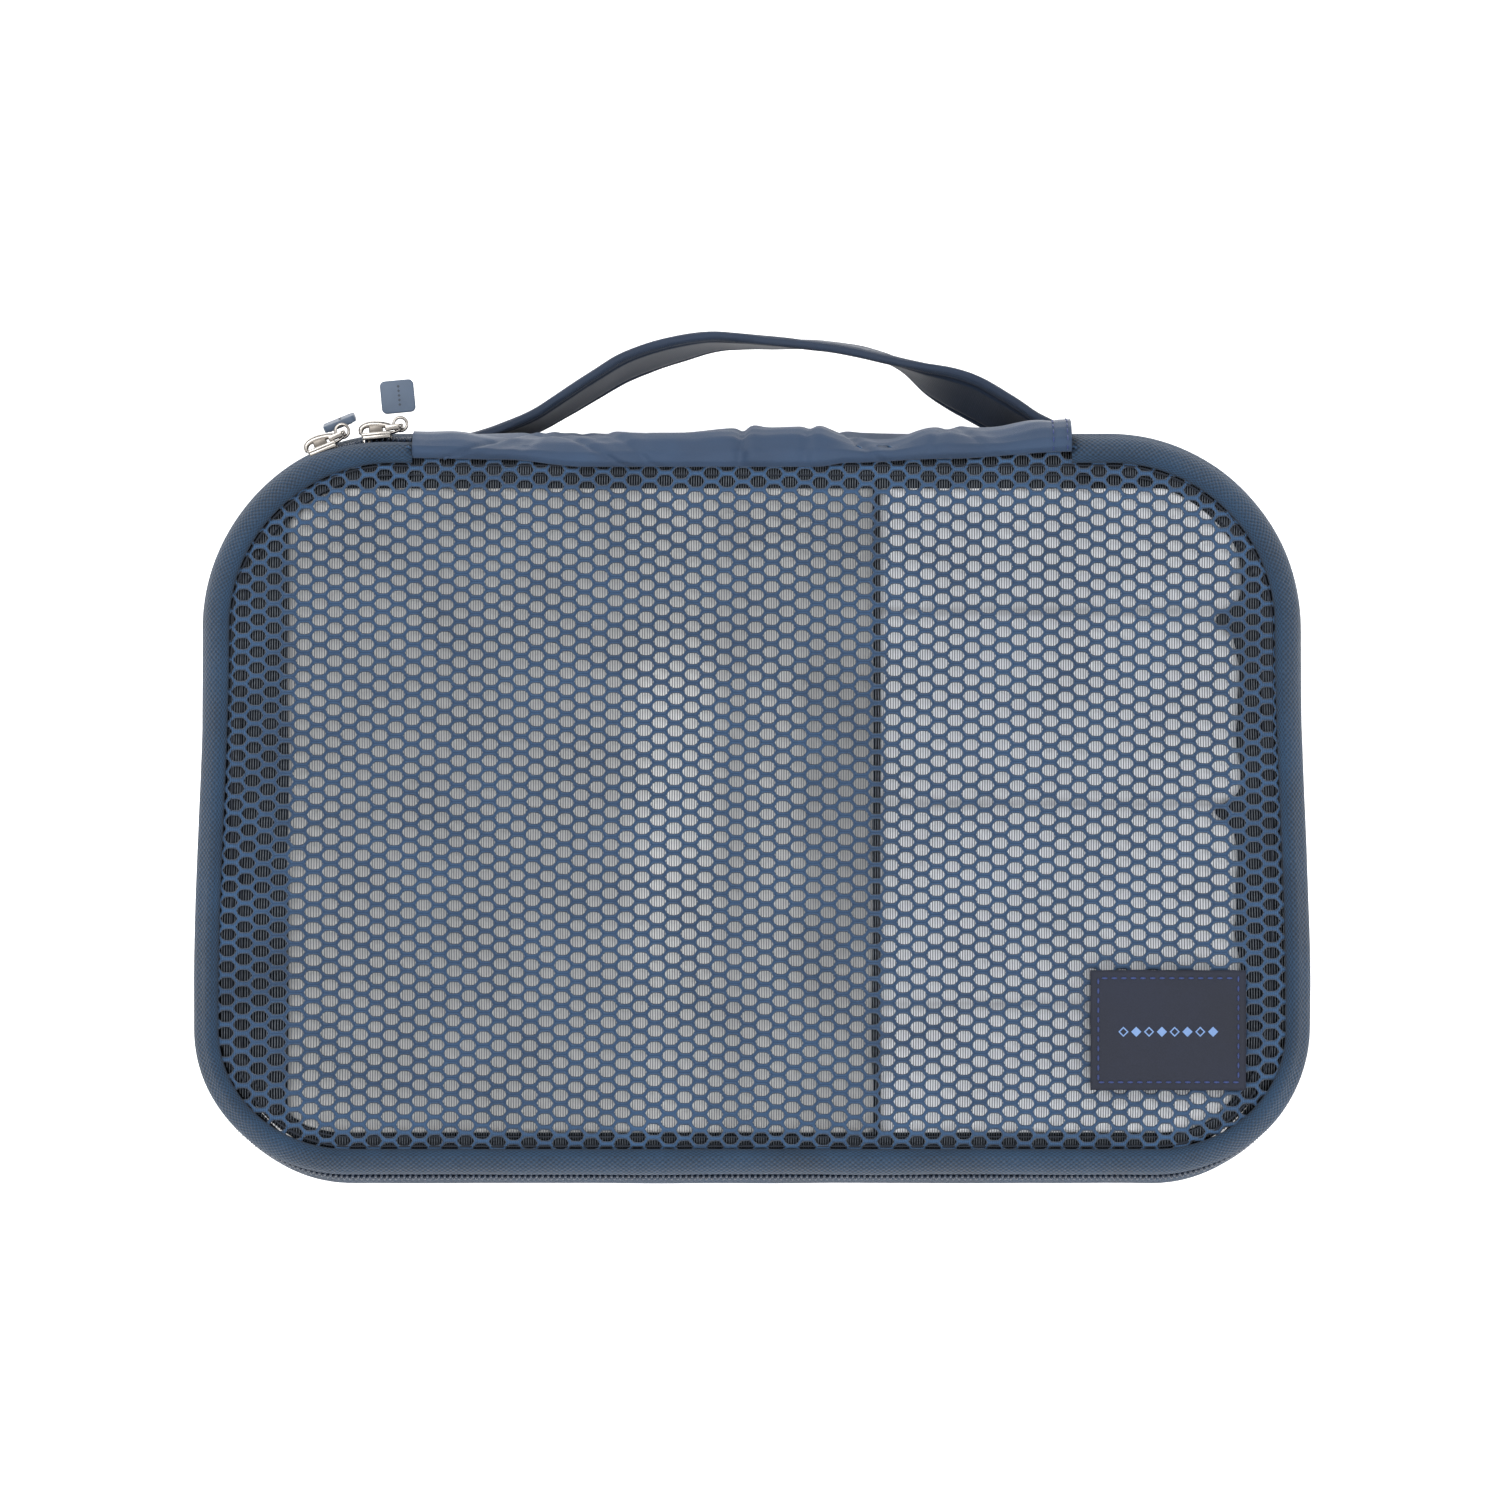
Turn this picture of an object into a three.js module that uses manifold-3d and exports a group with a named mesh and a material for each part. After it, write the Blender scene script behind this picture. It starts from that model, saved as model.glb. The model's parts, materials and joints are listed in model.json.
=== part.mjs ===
// A packing cube: a soft zipped case with a mesh lid, a grab handle and two zip sliders.
// Millimetres. The cube lies on its back panel: +X along its length, +Y towards the handle and
// +Z out of the mesh lid. The origin is the middle of the back panel's resting face.

import * as THREE from 'three';
import { mergeVertices } from 'three/addons/utils/BufferGeometryUtils.js';
import Module from 'manifold-3d';

const wasm = await Module();
wasm.setup();

// ---- Overall sizes ----
const CASE_LENGTH = 280;
const CASE_WIDTH = 190;
const CASE_DEPTH = 60; // from the resting face to the top of the mesh
const BOTTOM_CORNER = 39; // radius of the two corners away from the handle
const TOP_CORNER = 50; // radius of the two corners beside the handle

// ---- Cloth, tape and the air left between sewn pieces ----
const GAP = 0.3;
const CLOTH = 1.2;
const TAPE = 0.8;
const BINDING = 1.2;
const BINDING_WIDTH = 7.5;

// ---- The wall, from the back panel up to the lid's seam ----
const BACK_INSET = 3;
const ZIP_INSET = 3; // from the widest outline in to the middle of the zip
const SHOULDER_RISE = 14.25; // from the zip line up to the top of the mesh
const LOWER_TAPE_WIDTH = 12.45;
const COIL_HEIGHT = 1.2;
const COIL_DEPTH = 1.6;
const COIL_SPLIT = 1.3; // between the two coils, where a slider's post runs
const SEAM_INSET = 8.5; // from the widest outline in to the lid's seam
const LEFT_ZIP_RUN = 5; // straight zip between the top left corner and the hinge panel
const RIGHT_ZIP_RUN = 10;
const LID_FOLD = 11.3; // how far below the hinge line the lid's own zip tape begins

// ---- The lid ----
const MESH = 0.8;
const BACKING = 0.6;
const LID_BINDING_WIDTH = 2.5;
const HINGE_ROOM = 0.4; // between the mesh's edge and the line the lid folds on
const LABEL_LENGTH = 39;
const LABEL_WIDTH = 30;
const LABEL = 0.9;
const LABEL_CORNER = 1.5;
const LABEL_FROM_RIGHT = 36; // from the case's right side to the label's middle
const LABEL_FROM_BOTTOM = 39;
const LABEL_STITCH_INSET = 2;
const LABEL_STITCH = 1;

// ---- The filler: two folded sheets that stand on the back panel ----
const FILLER = 1;
const FILLER_LEFT_MARGIN = 23.5;
const FILLER_RIGHT_MARGIN = 18.2;
const FILLER_BOTTOM_MARGIN = 12.5;
const FILLER_TOP_MARGIN = 15.5;
const FILLER_SPLIT = 31.3; // where the two sheets meet
const FILLER_SPLIT_GAP = 2;
const FILLER_HEADROOM = 1.7; // under the mesh's backing
const FILLER_SEAM_ROOM = 1; // between the sheets' corners and the lid's seam binding

// ---- The handle ----
const STRAP = 3;
const STRAP_WIDTH = 22;
const STRAP_MARGIN = 0.5; // below the top of the gusset wall
const STRAP_RISE = 23.4; // how far the strap's middle stands off the wall at its crest
const STRAP_LEFT_SETBACK = 14; // from the hinge panel's left end
const STRAP_RIGHT_SETBACK = 1;
const STRAP_SEWN_SHARE = 0.155; // the share of the span at each end that stays with the wall

// ---- The zip sliders and their pulls ----
const PLATE_LENGTH = 7.6;
const PLATE_HEIGHT = 8.2;
const PLATE = 1.1;
const PLATE_AIR = 0.4;
const POST_LENGTH = 2.2;
const POST_AIR = 0.25;
const CAP_RISE = 1.0;
const CAP_HEIGHT = 3;
const EAR = 0.7;
const PIN_RADIUS = 0.5;
const PIN_REACH = 2.3; // from the plates' end out to the ring's pin
const RING_RADIUS = 1.7; // to the middle of its wire
const RING_WIRE = 0.4;
const RING_AIR = 0.25;
const EYE_AIR = 0.4;
const EYE_WALL = 0.45;
const EYE_LENGTH = 1.4;
const PULL_WIDTH = 8.5;
const PULL_LENGTH = 9.5;
const PULL = 1.8;
const PULL_NECK = 2.4;
const SLIDER_A_ANGLE = 22; // degrees round the top left corner from the straight
const SLIDER_B_ANGLE = 5.4;
const PULL_A_HANG = -80; // degrees: hanging down the wall
const PULL_B_HANG = 0; // standing straight out

// ---- Worked out from the sizes above ----
const HALF_LENGTH = CASE_LENGTH / 2;
const HALF_WIDTH = CASE_WIDTH / 2;
const TOP_ARC_X = HALF_LENGTH - TOP_CORNER; // the centres of the arcs beside the handle
const TOP_ARC_Y = HALF_WIDTH - TOP_CORNER;
const ZIP_LEVEL = CASE_DEPTH - SHOULDER_RISE;
const LOWER_COIL_TOP = ZIP_LEVEL - COIL_SPLIT / 2;
const UPPER_COIL_BOTTOM = ZIP_LEVEL + COIL_SPLIT / 2;
const GUSSET_TOP = ZIP_LEVEL - LOWER_TAPE_WIDTH - GAP;
const MESH_BOTTOM = CASE_DEPTH - MESH;
const BACKING_BOTTOM = MESH_BOTTOM - GAP - BACKING;
const HINGE_LEFT = LEFT_ZIP_RUN - TOP_ARC_X;
const HINGE_RIGHT = TOP_ARC_X - RIGHT_ZIP_RUN;
const MESH_INSET = SEAM_INSET + GAP;
const HINGE_LINE_Y = HALF_WIDTH - MESH_INSET + HINGE_ROOM;
const LID_TAPE_END = HINGE_LINE_Y - LID_FOLD;
const ZIP_ARC = TOP_CORNER - ZIP_INSET;

const CURVE_SEGMENTS = 5;
const FAR = 2 * (CASE_LENGTH + CASE_WIDTH + CASE_DEPTH); // larger than anything here

// ---- Finishes ----
const FINISHES = {
  navy_nylon: { color: 0x47597a, roughness: 0.75, metalness: 0 },
  blue_nylon: { color: 0x475d77, roughness: 0.7, metalness: 0 },
  zip_tape: { color: 0x475768, roughness: 0.85, metalness: 0 },
  zip_coil: { color: 0x34435a, roughness: 0.5, metalness: 0 },
  mesh_knit: { color: 0x445062, roughness: 0.8, metalness: 0 },
  mesh_lining: { color: 0x5a5f66, roughness: 0.85, metalness: 0 },
  seam_binding: { color: 0x2f3a4c, roughness: 0.8, metalness: 0 },
  filler_sheet: { color: 0xb4b6ba, roughness: 0.7, metalness: 0 },
  label_cloth: { color: 0x2c3240, roughness: 0.85, metalness: 0 },
  label_thread: { color: 0x8aa4c6, roughness: 0.7, metalness: 0 },
  nickel: { color: 0xc9c6c1, roughness: 0.25, metalness: 1 },
  pull_rubber: { color: 0x6a7889, roughness: 0.6, metalness: 0 },
};

// ---- Solids ----

/** A closed geometry as a manifold solid. */
function solidOf(geometry) {
  const bare = geometry.clone();
  bare.deleteAttribute('normal');
  bare.deleteAttribute('uv');
  const merged = mergeVertices(bare, 1e-4);
  return new wasm.Manifold(new wasm.Mesh({
    numProp: 3,
    vertProperties: Float32Array.from(merged.attributes.position.array),
    triVerts: Uint32Array.from(merged.index.array),
  }));
}

/** A manifold solid as a geometry with flat-shaded normals. */
function geometryOf(solid) {
  const mesh = solid.getMesh();
  const indexed = new THREE.BufferGeometry();
  indexed.setAttribute('position', new THREE.BufferAttribute(mesh.vertProperties, 3));
  indexed.setIndex(new THREE.BufferAttribute(mesh.triVerts, 1));
  const geometry = indexed.toNonIndexed();
  geometry.computeVertexNormals();
  return geometry;
}

/** A box between two corners. */
function block(low, high) {
  const size = high.map((value, axis) => value - low[axis]);
  const middle = high.map((value, axis) => (value + low[axis]) / 2);
  return new THREE.BoxGeometry(...size).translate(...middle);
}

/** The part of a geometry inside a box. */
function keep(geometry, low, high) {
  return geometryOf(solidOf(geometry).intersect(solidOf(block(low, high))));
}

/** Several overlapping geometries as one. */
function join(...geometries) {
  return geometryOf(wasm.Manifold.union(geometries.map(solidOf)));
}

/** The first geometry without the others. */
function cut(geometry, ...tools) {
  return geometryOf(wasm.Manifold.difference([geometry, ...tools].map(solidOf)));
}

/** A cylinder along Z with its middle at a place. */
function rod(radius, length, x, y, z = 0) {
  return new THREE.CylinderGeometry(radius, radius, length, 16).rotateX(Math.PI / 2).translate(x, y, z);
}

// ---- Outlines ----

/** A rectangle with round corners about the origin; the two at the top may be rounder. */
function roundedRectangle(length, width, bottomRadius, topRadius = bottomRadius) {
  const outline = new THREE.Shape();
  outline.moveTo(length / 2, bottomRadius - width / 2);
  const corners = [[1, 1], [-1, 1], [-1, -1], [1, -1]];
  corners.forEach(([sideX, sideY], turn) => {
    const radius = sideY > 0 ? topRadius : bottomRadius;
    const start = (turn * Math.PI) / 2;
    const x = sideX * (length / 2 - radius);
    outline.absarc(x, sideY * (width / 2 - radius), radius, start, start + Math.PI / 2);
  });
  outline.closePath();
  return outline;
}

/** The case's outline, moved in from its widest by an inset. */
function caseOutline(inset) {
  const length = CASE_LENGTH - 2 * inset;
  return roundedRectangle(length, CASE_WIDTH - 2 * inset, BOTTOM_CORNER - inset, TOP_CORNER - inset);
}

/** A flat panel of the case's outline. */
function panel(inset, bottom, top) {
  const options = { depth: top - bottom, bevelEnabled: false, curveSegments: CURVE_SEGMENTS };
  return new THREE.ExtrudeGeometry(caseOutline(inset), options).translate(0, 0, bottom);
}

/** A wall that follows the case's outline all the way round, and leans in as leanAt(z) says. */
function wall(inset, thickness, bottom, top, steps = 1, leanAt = () => 0) {
  const outline = caseOutline(inset);
  outline.holes.push(caseOutline(inset + thickness));
  const options = { depth: top - bottom, steps, bevelEnabled: false, curveSegments: CURVE_SEGMENTS };
  const geometry = new THREE.ExtrudeGeometry(outline, options).translate(0, 0, bottom);
  const places = geometry.attributes.position;
  for (let i = 0; i < places.count; i += 1) {
    const x = places.getX(i);
    const y = places.getY(i);
    const radius = y > 0 ? TOP_CORNER : BOTTOM_CORNER;
    const outX = x - THREE.MathUtils.clamp(x, radius - HALF_LENGTH, HALF_LENGTH - radius);
    const outY = y - THREE.MathUtils.clamp(y, radius - HALF_WIDTH, HALF_WIDTH - radius);
    const share = leanAt(places.getZ(i)) / Math.hypot(outX, outY);
    places.setXY(i, x - outX * share, y - outY * share);
  }
  return geometry;
}

/** An outline that runs along a curve, half a thickness to each side of it. */
function ribbon(curve, thickness, count) {
  const places = curve.getSpacedPoints(count);
  const sides = places.map((place, i) => {
    const along = places[Math.min(i + 1, count)].clone().sub(places[Math.max(i - 1, 0)]).normalize();
    return new THREE.Vector2(-along.y, along.x).multiplyScalar(thickness / 2);
  });
  const left = places.map((place, i) => place.clone().add(sides[i]));
  const right = places.map((place, i) => place.clone().sub(sides[i]));
  return new THREE.Shape([...right, ...left.reverse()]);
}

/** An outline in Y and Z, drawn out along X. */
function alongX(outline, from, to) {
  const turn = new THREE.Matrix4().makeBasis(
    new THREE.Vector3(0, 1, 0),
    new THREE.Vector3(0, 0, 1),
    new THREE.Vector3(1, 0, 0),
  );
  const geometry = new THREE.ExtrudeGeometry(outline, { depth: to - from, bevelEnabled: false });
  return geometry.applyMatrix4(turn).translate(from, 0, 0);
}

// ---- The object ----

const packingCube = new THREE.Group();

/** Adds one named piece in one of the finishes. */
function add(name, geometry, finish) {
  const piece = new THREE.Mesh(geometry, new THREE.MeshStandardMaterial(FINISHES[finish]));
  piece.name = name;
  packingCube.add(piece);
}

/** The back panel, the wall that rises from it and the binding tape over their seam, inside. */
function addShell() {
  add('back_panel', panel(BACK_INSET, 0, CLOTH), 'navy_nylon');
  add('gusset_wall', wall(0, CLOTH, CLOTH + GAP, GUSSET_TOP), 'navy_nylon');
  const bindingBottom = CLOTH + GAP;
  add(
    'back_seam_binding',
    wall(CLOTH + GAP, BINDING, bindingBottom, bindingBottom + BINDING_WIDTH),
    'seam_binding',
  );
}

/** The zip's lower half, open along the hinge panel. */
function addLowerZip() {
  const bottom = GUSSET_TOP + GAP;
  const top = LOWER_COIL_TOP - COIL_HEIGHT - GAP;
  const outerInset = ZIP_INSET - TAPE / 2;
  const flare = outerInset - CLOTH / 2; // the tape's foot meets the gusset wall
  const leanAt = (z) => (flare * (z - top)) / (top - bottom);
  const tape = wall(outerInset, TAPE, bottom, top, 1, leanAt);
  const coil = wall(ZIP_INSET - COIL_DEPTH / 2, COIL_DEPTH, LOWER_COIL_TOP - COIL_HEIGHT, LOWER_COIL_TOP);
  const openLow = [HINGE_LEFT - GAP, TOP_ARC_Y, -FAR];
  const openHigh = [HINGE_RIGHT + GAP, FAR, FAR];
  add('lower_zip_tape', cut(tape, block(openLow, openHigh)), 'zip_tape');
  add('lower_zip_coil', cut(coil, block(openLow, openHigh)), 'zip_coil');
}

/** The zip's upper half: most of it on the lid, and its two ends sewn to the case by the hinge. */
function addUpperZip() {
  const bottom = UPPER_COIL_BOTTOM + COIL_HEIGHT + GAP;
  const top = MESH_BOTTOM - GAP;
  const outerInset = ZIP_INSET - TAPE / 2;
  const shoulder = bottom + (top - bottom) / 4; // straight up to here, beside the sliders
  const leanAt = (z) => ((SEAM_INSET - outerInset) * Math.max(0, z - shoulder)) / (top - shoulder);
  const tape = wall(outerInset, TAPE, bottom, top, 4, leanAt);
  const coilInset = ZIP_INSET - COIL_DEPTH / 2;
  const coil = wall(coilInset, COIL_DEPTH, UPPER_COIL_BOTTOM, UPPER_COIL_BOTTOM + COIL_HEIGHT);
  const regions = {
    upper: [[-FAR, -FAR, -FAR], [FAR, LID_TAPE_END, FAR]],
    left_end: [[-FAR, LID_TAPE_END + GAP, -FAR], [HINGE_LEFT - GAP, FAR, FAR]],
    right_end: [[HINGE_RIGHT + GAP, LID_TAPE_END + GAP, -FAR], [FAR, FAR, FAR]],
  };
  for (const [place, [low, high]] of Object.entries(regions)) {
    add(`${place}_zip_tape`, keep(tape, low, high), 'zip_tape');
    add(`${place}_zip_coil`, keep(coil, low, high), 'zip_coil');
  }
}

/** The cloth between the zip's two ends, from the gusset wall up and over to the lid's edge. */
function addHingePanel() {
  const footY = HALF_WIDTH - CLOTH;
  const topY = HINGE_LINE_Y + CLOTH * 0.7;
  const topZ = CASE_DEPTH - CLOTH * 0.8;
  const profile = new THREE.SplineCurve([
    new THREE.Vector2(footY, GUSSET_TOP + GAP + CLOTH / 4),
    new THREE.Vector2(footY - CLOTH / 2, ZIP_LEVEL),
    new THREE.Vector2((footY + topY) / 2 + CLOTH, ZIP_LEVEL + SHOULDER_RISE * 0.6),
    new THREE.Vector2(topY, topZ),
  ]);
  add('hinge_panel', alongX(ribbon(profile, CLOTH, 10), HINGE_LEFT, HINGE_RIGHT), 'blue_nylon');
}

/** The lid's two layers of mesh, with the binding tape over their seam, underneath. */
function addLidPanel() {
  add('mesh_face', panel(MESH_INSET, MESH_BOTTOM, CASE_DEPTH), 'mesh_knit');
  add('mesh_backing', panel(MESH_INSET + BINDING, BACKING_BOTTOM, MESH_BOTTOM - GAP), 'mesh_lining');
  const bindingTop = BACKING_BOTTOM - GAP;
  const bindingInset = SEAM_INSET + BINDING;
  add(
    'lid_seam_binding',
    wall(bindingInset, LID_BINDING_WIDTH, bindingTop - LID_BINDING_WIDTH, bindingTop),
    'seam_binding',
  );
}

/** The woven label on the mesh, and the line of stitches round it. */
function addLabel() {
  const x = HALF_LENGTH - LABEL_FROM_RIGHT;
  const y = LABEL_FROM_BOTTOM - HALF_WIDTH;
  const bottom = CASE_DEPTH + GAP;
  const patch = roundedRectangle(LABEL_LENGTH, LABEL_WIDTH, LABEL_CORNER);
  const plain = { bevelEnabled: false, curveSegments: 3 };
  const patchGeometry = new THREE.ExtrudeGeometry(patch, { ...plain, depth: LABEL });
  add('label_patch', patchGeometry.translate(x, y, bottom), 'label_cloth');
  const outer = 2 * LABEL_STITCH_INSET;
  const inner = outer + 2 * LABEL_STITCH;
  const line = roundedRectangle(LABEL_LENGTH - outer, LABEL_WIDTH - outer, LABEL_CORNER);
  line.holes.push(roundedRectangle(LABEL_LENGTH - inner, LABEL_WIDTH - inner, LABEL_CORNER / 2));
  const lineGeometry = new THREE.ExtrudeGeometry(line, { ...plain, depth: LABEL / 2 });
  add('label_stitching', lineGeometry.translate(x, y, bottom + LABEL + GAP), 'label_thread');
}

/** Two folded sheets, each a top with two legs that stand on the back panel. */
function addFiller() {
  const floor = CLOTH + GAP;
  const top = BACKING_BOTTOM - FILLER_HEADROOM;
  const low = FILLER_BOTTOM_MARGIN - HALF_WIDTH;
  const high = HALF_WIDTH - FILLER_TOP_MARGIN;
  const spans = {
    left: [FILLER_LEFT_MARGIN - HALF_LENGTH, FILLER_SPLIT - FILLER_SPLIT_GAP / 2],
    right: [FILLER_SPLIT + FILLER_SPLIT_GAP / 2, HALF_LENGTH - FILLER_RIGHT_MARGIN],
  };
  const withinSeam = panel(SEAM_INSET + BINDING + LID_BINDING_WIDTH + FILLER_SEAM_ROOM, floor, top);
  for (const [side, [from, to]] of Object.entries(spans)) {
    const sheet = keep(withinSeam, [from, low, -FAR], [to, high, FAR]);
    const space = block([from + FILLER, -FAR, -FAR], [to - FILLER, FAR, top - FILLER]);
    add(`filler_sheet_${side}`, cut(sheet, space), 'filler_sheet');
  }
}

/** The grab handle: an arched strap whose two ends are sewn flat to the wall. */
function addHandle() {
  const left = HINGE_LEFT + STRAP_LEFT_SETBACK;
  const right = HINGE_RIGHT - STRAP_RIGHT_SETBACK;
  const span = right - left;
  const flat = GAP + STRAP / 2;
  const crest = STRAP_RISE - flat;
  // Shares of the span and of the rise: the crest leans to the left, as the strap was sewn.
  const arch = [[0, 0], [0.1, 0.13], [0.2, 0.55], [0.3, 0.88], [0.4, 1], [0.6, 0.88], [0.8, 0.65], [0.9, 0.34], [1, 0]];
  const curve = new THREE.SplineCurve(
    arch.map(([along, up]) => new THREE.Vector2(left + along * span, HALF_WIDTH + flat + up * crest)),
  );
  const depth = STRAP_WIDTH;
  const bottom = GUSSET_TOP - STRAP_MARGIN - STRAP_WIDTH;
  const strap = new THREE.ExtrudeGeometry(ribbon(curve, STRAP, 30), { depth, bevelEnabled: false })
    .translate(0, 0, bottom);
  const sewn = STRAP_SEWN_SHARE * span;
  add('handle_anchor_left', keep(strap, [-FAR, -FAR, -FAR], [left + sewn - GAP, FAR, FAR]), 'navy_nylon');
  add('handle_strap', keep(strap, [left + sewn, -FAR, -FAR], [right - sewn, FAR, FAR]), 'navy_nylon');
  add('handle_anchor_right', keep(strap, [right - sewn + GAP, -FAR, -FAR], [FAR, FAR, FAR]), 'navy_nylon');
}

/** One slider's four pieces about the zip line: X along the zip, Y out of the wall, Z up. */
function sliderPieces(hangDegrees) {
  const half = PLATE_LENGTH / 2;
  const high = PLATE_HEIGHT / 2;
  const outerFace = COIL_DEPTH / 2 + PLATE_AIR;
  const sagitta = ZIP_ARC - Math.sqrt(ZIP_ARC ** 2 - half ** 2); // keeps flat plates off a curved zip
  const innerFace = -(outerFace + sagitta);
  const postHigh = COIL_SPLIT / 2 - POST_AIR;
  const body = join(
    block([-half, outerFace, -high], [half, outerFace + PLATE, high]),
    block([-half, innerFace - PLATE, -high], [half, innerFace, high]),
    block([-half, innerFace - PLATE / 2, -postHigh], [POST_LENGTH - half, outerFace + PLATE / 2, postHigh]),
  );

  const pinX = half + PIN_REACH;
  const foot = outerFace + PLATE + GAP;
  const pinY = foot + EAR / 2;
  const capHigh = CAP_HEIGHT / 2;
  const earX = half - PIN_REACH / 2;
  const arch = new THREE.Shape();
  arch.moveTo(-half, foot);
  arch.lineTo(earX, foot);
  arch.lineTo(earX, foot + CAP_RISE);
  arch.quadraticCurveTo(0, foot + 1.5 * CAP_RISE, 1 - half, foot + CAP_RISE);
  arch.closePath();
  const capBar = new THREE.ExtrudeGeometry(arch, { depth: CAP_HEIGHT, bevelEnabled: false, curveSegments: 6 });
  const ears = [-1, 1].flatMap((side) => {
    const earZ = side * (capHigh - EAR / 2);
    return [
      block([earX - EAR, foot, earZ - EAR / 2], [pinX, foot + EAR, earZ + EAR / 2]),
      rod(EAR, EAR, pinX, pinY + EAR / 2, earZ),
    ];
  });
  const cap = join(
    capBar.translate(0, 0, -capHigh),
    ...ears,
    rod(PIN_RADIUS, CAP_HEIGHT - EAR, pinX, pinY + EAR / 2),
  );

  const ringOffset = RING_RADIUS - RING_WIRE - PIN_RADIUS - RING_AIR;
  const ringY = pinY + EAR / 2 + ringOffset;
  const ring = new THREE.TorusGeometry(RING_RADIUS, RING_WIRE, 8, 20).translate(pinX, ringY, 0);

  const eyeHole = RING_WIRE + EYE_AIR;
  const eyeRadius = eyeHole + EYE_WALL;
  const barrel = new THREE.CylinderGeometry(eyeRadius, eyeRadius, EYE_LENGTH, 16).rotateZ(Math.PI / 2);
  const hole = new THREE.CylinderGeometry(eyeHole, eyeHole, 2 * EYE_LENGTH, 16).rotateZ(Math.PI / 2);
  const tongue = new THREE.Shape();
  const neckEnd = eyeRadius + PULL_NECK;
  tongue.moveTo(-EYE_LENGTH / 2, eyeHole);
  tongue.lineTo(EYE_LENGTH / 2, eyeHole);
  tongue.lineTo(EYE_LENGTH / 2, eyeRadius + GAP);
  tongue.lineTo(PULL_WIDTH / 2, neckEnd);
  tongue.lineTo(PULL_WIDTH / 2, PULL_LENGTH - 1);
  tongue.quadraticCurveTo(PULL_WIDTH / 2, PULL_LENGTH, PULL_WIDTH / 2 - 1, PULL_LENGTH);
  tongue.lineTo(1 - PULL_WIDTH / 2, PULL_LENGTH);
  tongue.quadraticCurveTo(-PULL_WIDTH / 2, PULL_LENGTH, -PULL_WIDTH / 2, PULL_LENGTH - 1);
  tongue.lineTo(-PULL_WIDTH / 2, neckEnd);
  tongue.lineTo(-EYE_LENGTH / 2, eyeRadius + GAP);
  tongue.closePath();
  const blade = new THREE.ExtrudeGeometry(tongue, { depth: PULL, bevelEnabled: false, curveSegments: 3 });
  const pull = cut(join(barrel, blade.translate(0, 0, -PULL / 2)), hole)
    .rotateX(THREE.MathUtils.degToRad(hangDegrees))
    .translate(pinX, ringY + RING_RADIUS, 0);

  return { body, cap, ring, pull };
}

/** Both sliders, parked side by side at the zip's left end. */
function addSliders() {
  const finishes = { body: 'nickel', cap: 'nickel', ring: 'nickel', pull: 'pull_rubber' };
  const sliders = { slider_a: [SLIDER_A_ANGLE, PULL_A_HANG], slider_b: [SLIDER_B_ANGLE, PULL_B_HANG] };
  for (const [slider, [angle, hang]] of Object.entries(sliders)) {
    for (const [name, geometry] of Object.entries(sliderPieces(hang))) {
      geometry
        .translate(0, ZIP_ARC, ZIP_LEVEL)
        .rotateZ(THREE.MathUtils.degToRad(angle))
        .translate(-TOP_ARC_X, TOP_ARC_Y, 0);
      add(`${slider}_${name}`, geometry, finishes[name]);
    }
  }
}

addShell();
addLowerZip();
addUpperZip();
addHingePanel();
addLidPanel();
addLabel();
addFiller();
addHandle();
addSliders();

export default packingCube;
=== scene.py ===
"""The looks of a packing cube: a zipped case with a mesh lid, a grab handle and two sliders.

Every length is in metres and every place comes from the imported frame. The cube lies on its back
panel: +X runs along it, +Y points to the handle and +Z points out of the mesh lid.
"""

import json
import logging
import math
from collections.abc import Callable, Iterable, Sequence
from dataclasses import dataclass, field
from enum import Enum

import bmesh
import bpy
from mathutils import Matrix, Vector, noise
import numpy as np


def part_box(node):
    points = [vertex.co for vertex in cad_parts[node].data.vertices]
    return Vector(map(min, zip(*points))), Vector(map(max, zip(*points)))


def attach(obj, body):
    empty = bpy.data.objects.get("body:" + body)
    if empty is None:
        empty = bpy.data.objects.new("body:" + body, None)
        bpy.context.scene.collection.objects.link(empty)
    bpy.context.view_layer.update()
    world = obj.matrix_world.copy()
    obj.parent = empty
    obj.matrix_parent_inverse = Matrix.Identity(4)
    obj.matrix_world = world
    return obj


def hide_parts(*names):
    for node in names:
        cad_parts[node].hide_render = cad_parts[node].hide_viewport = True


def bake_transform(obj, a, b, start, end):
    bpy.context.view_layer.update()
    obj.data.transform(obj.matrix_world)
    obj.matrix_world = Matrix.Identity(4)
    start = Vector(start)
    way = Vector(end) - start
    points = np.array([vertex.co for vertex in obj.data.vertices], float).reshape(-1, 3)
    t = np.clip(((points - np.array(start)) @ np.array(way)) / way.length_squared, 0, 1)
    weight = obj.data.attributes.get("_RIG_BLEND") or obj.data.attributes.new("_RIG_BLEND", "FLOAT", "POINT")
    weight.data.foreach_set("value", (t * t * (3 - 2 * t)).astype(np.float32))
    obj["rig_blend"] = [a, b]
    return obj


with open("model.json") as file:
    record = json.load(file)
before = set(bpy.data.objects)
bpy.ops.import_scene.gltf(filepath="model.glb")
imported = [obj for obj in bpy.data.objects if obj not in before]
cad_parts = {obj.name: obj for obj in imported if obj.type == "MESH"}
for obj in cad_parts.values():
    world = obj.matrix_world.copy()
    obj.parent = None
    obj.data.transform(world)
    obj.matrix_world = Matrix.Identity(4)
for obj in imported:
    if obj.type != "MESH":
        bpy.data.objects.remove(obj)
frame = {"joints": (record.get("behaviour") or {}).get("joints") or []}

LOG = logging.getLogger("packing_cube")
MM = 0.001
CASE = "case"
LID = "lid"
# The lid's cloth turns with it between these two points of the wall's section.
FOLD_START = (0.0, 0.0925, 0.0455)
FOLD_END = (0.0, 0.0835, 0.0580)


# ---- Small helpers ----


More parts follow.
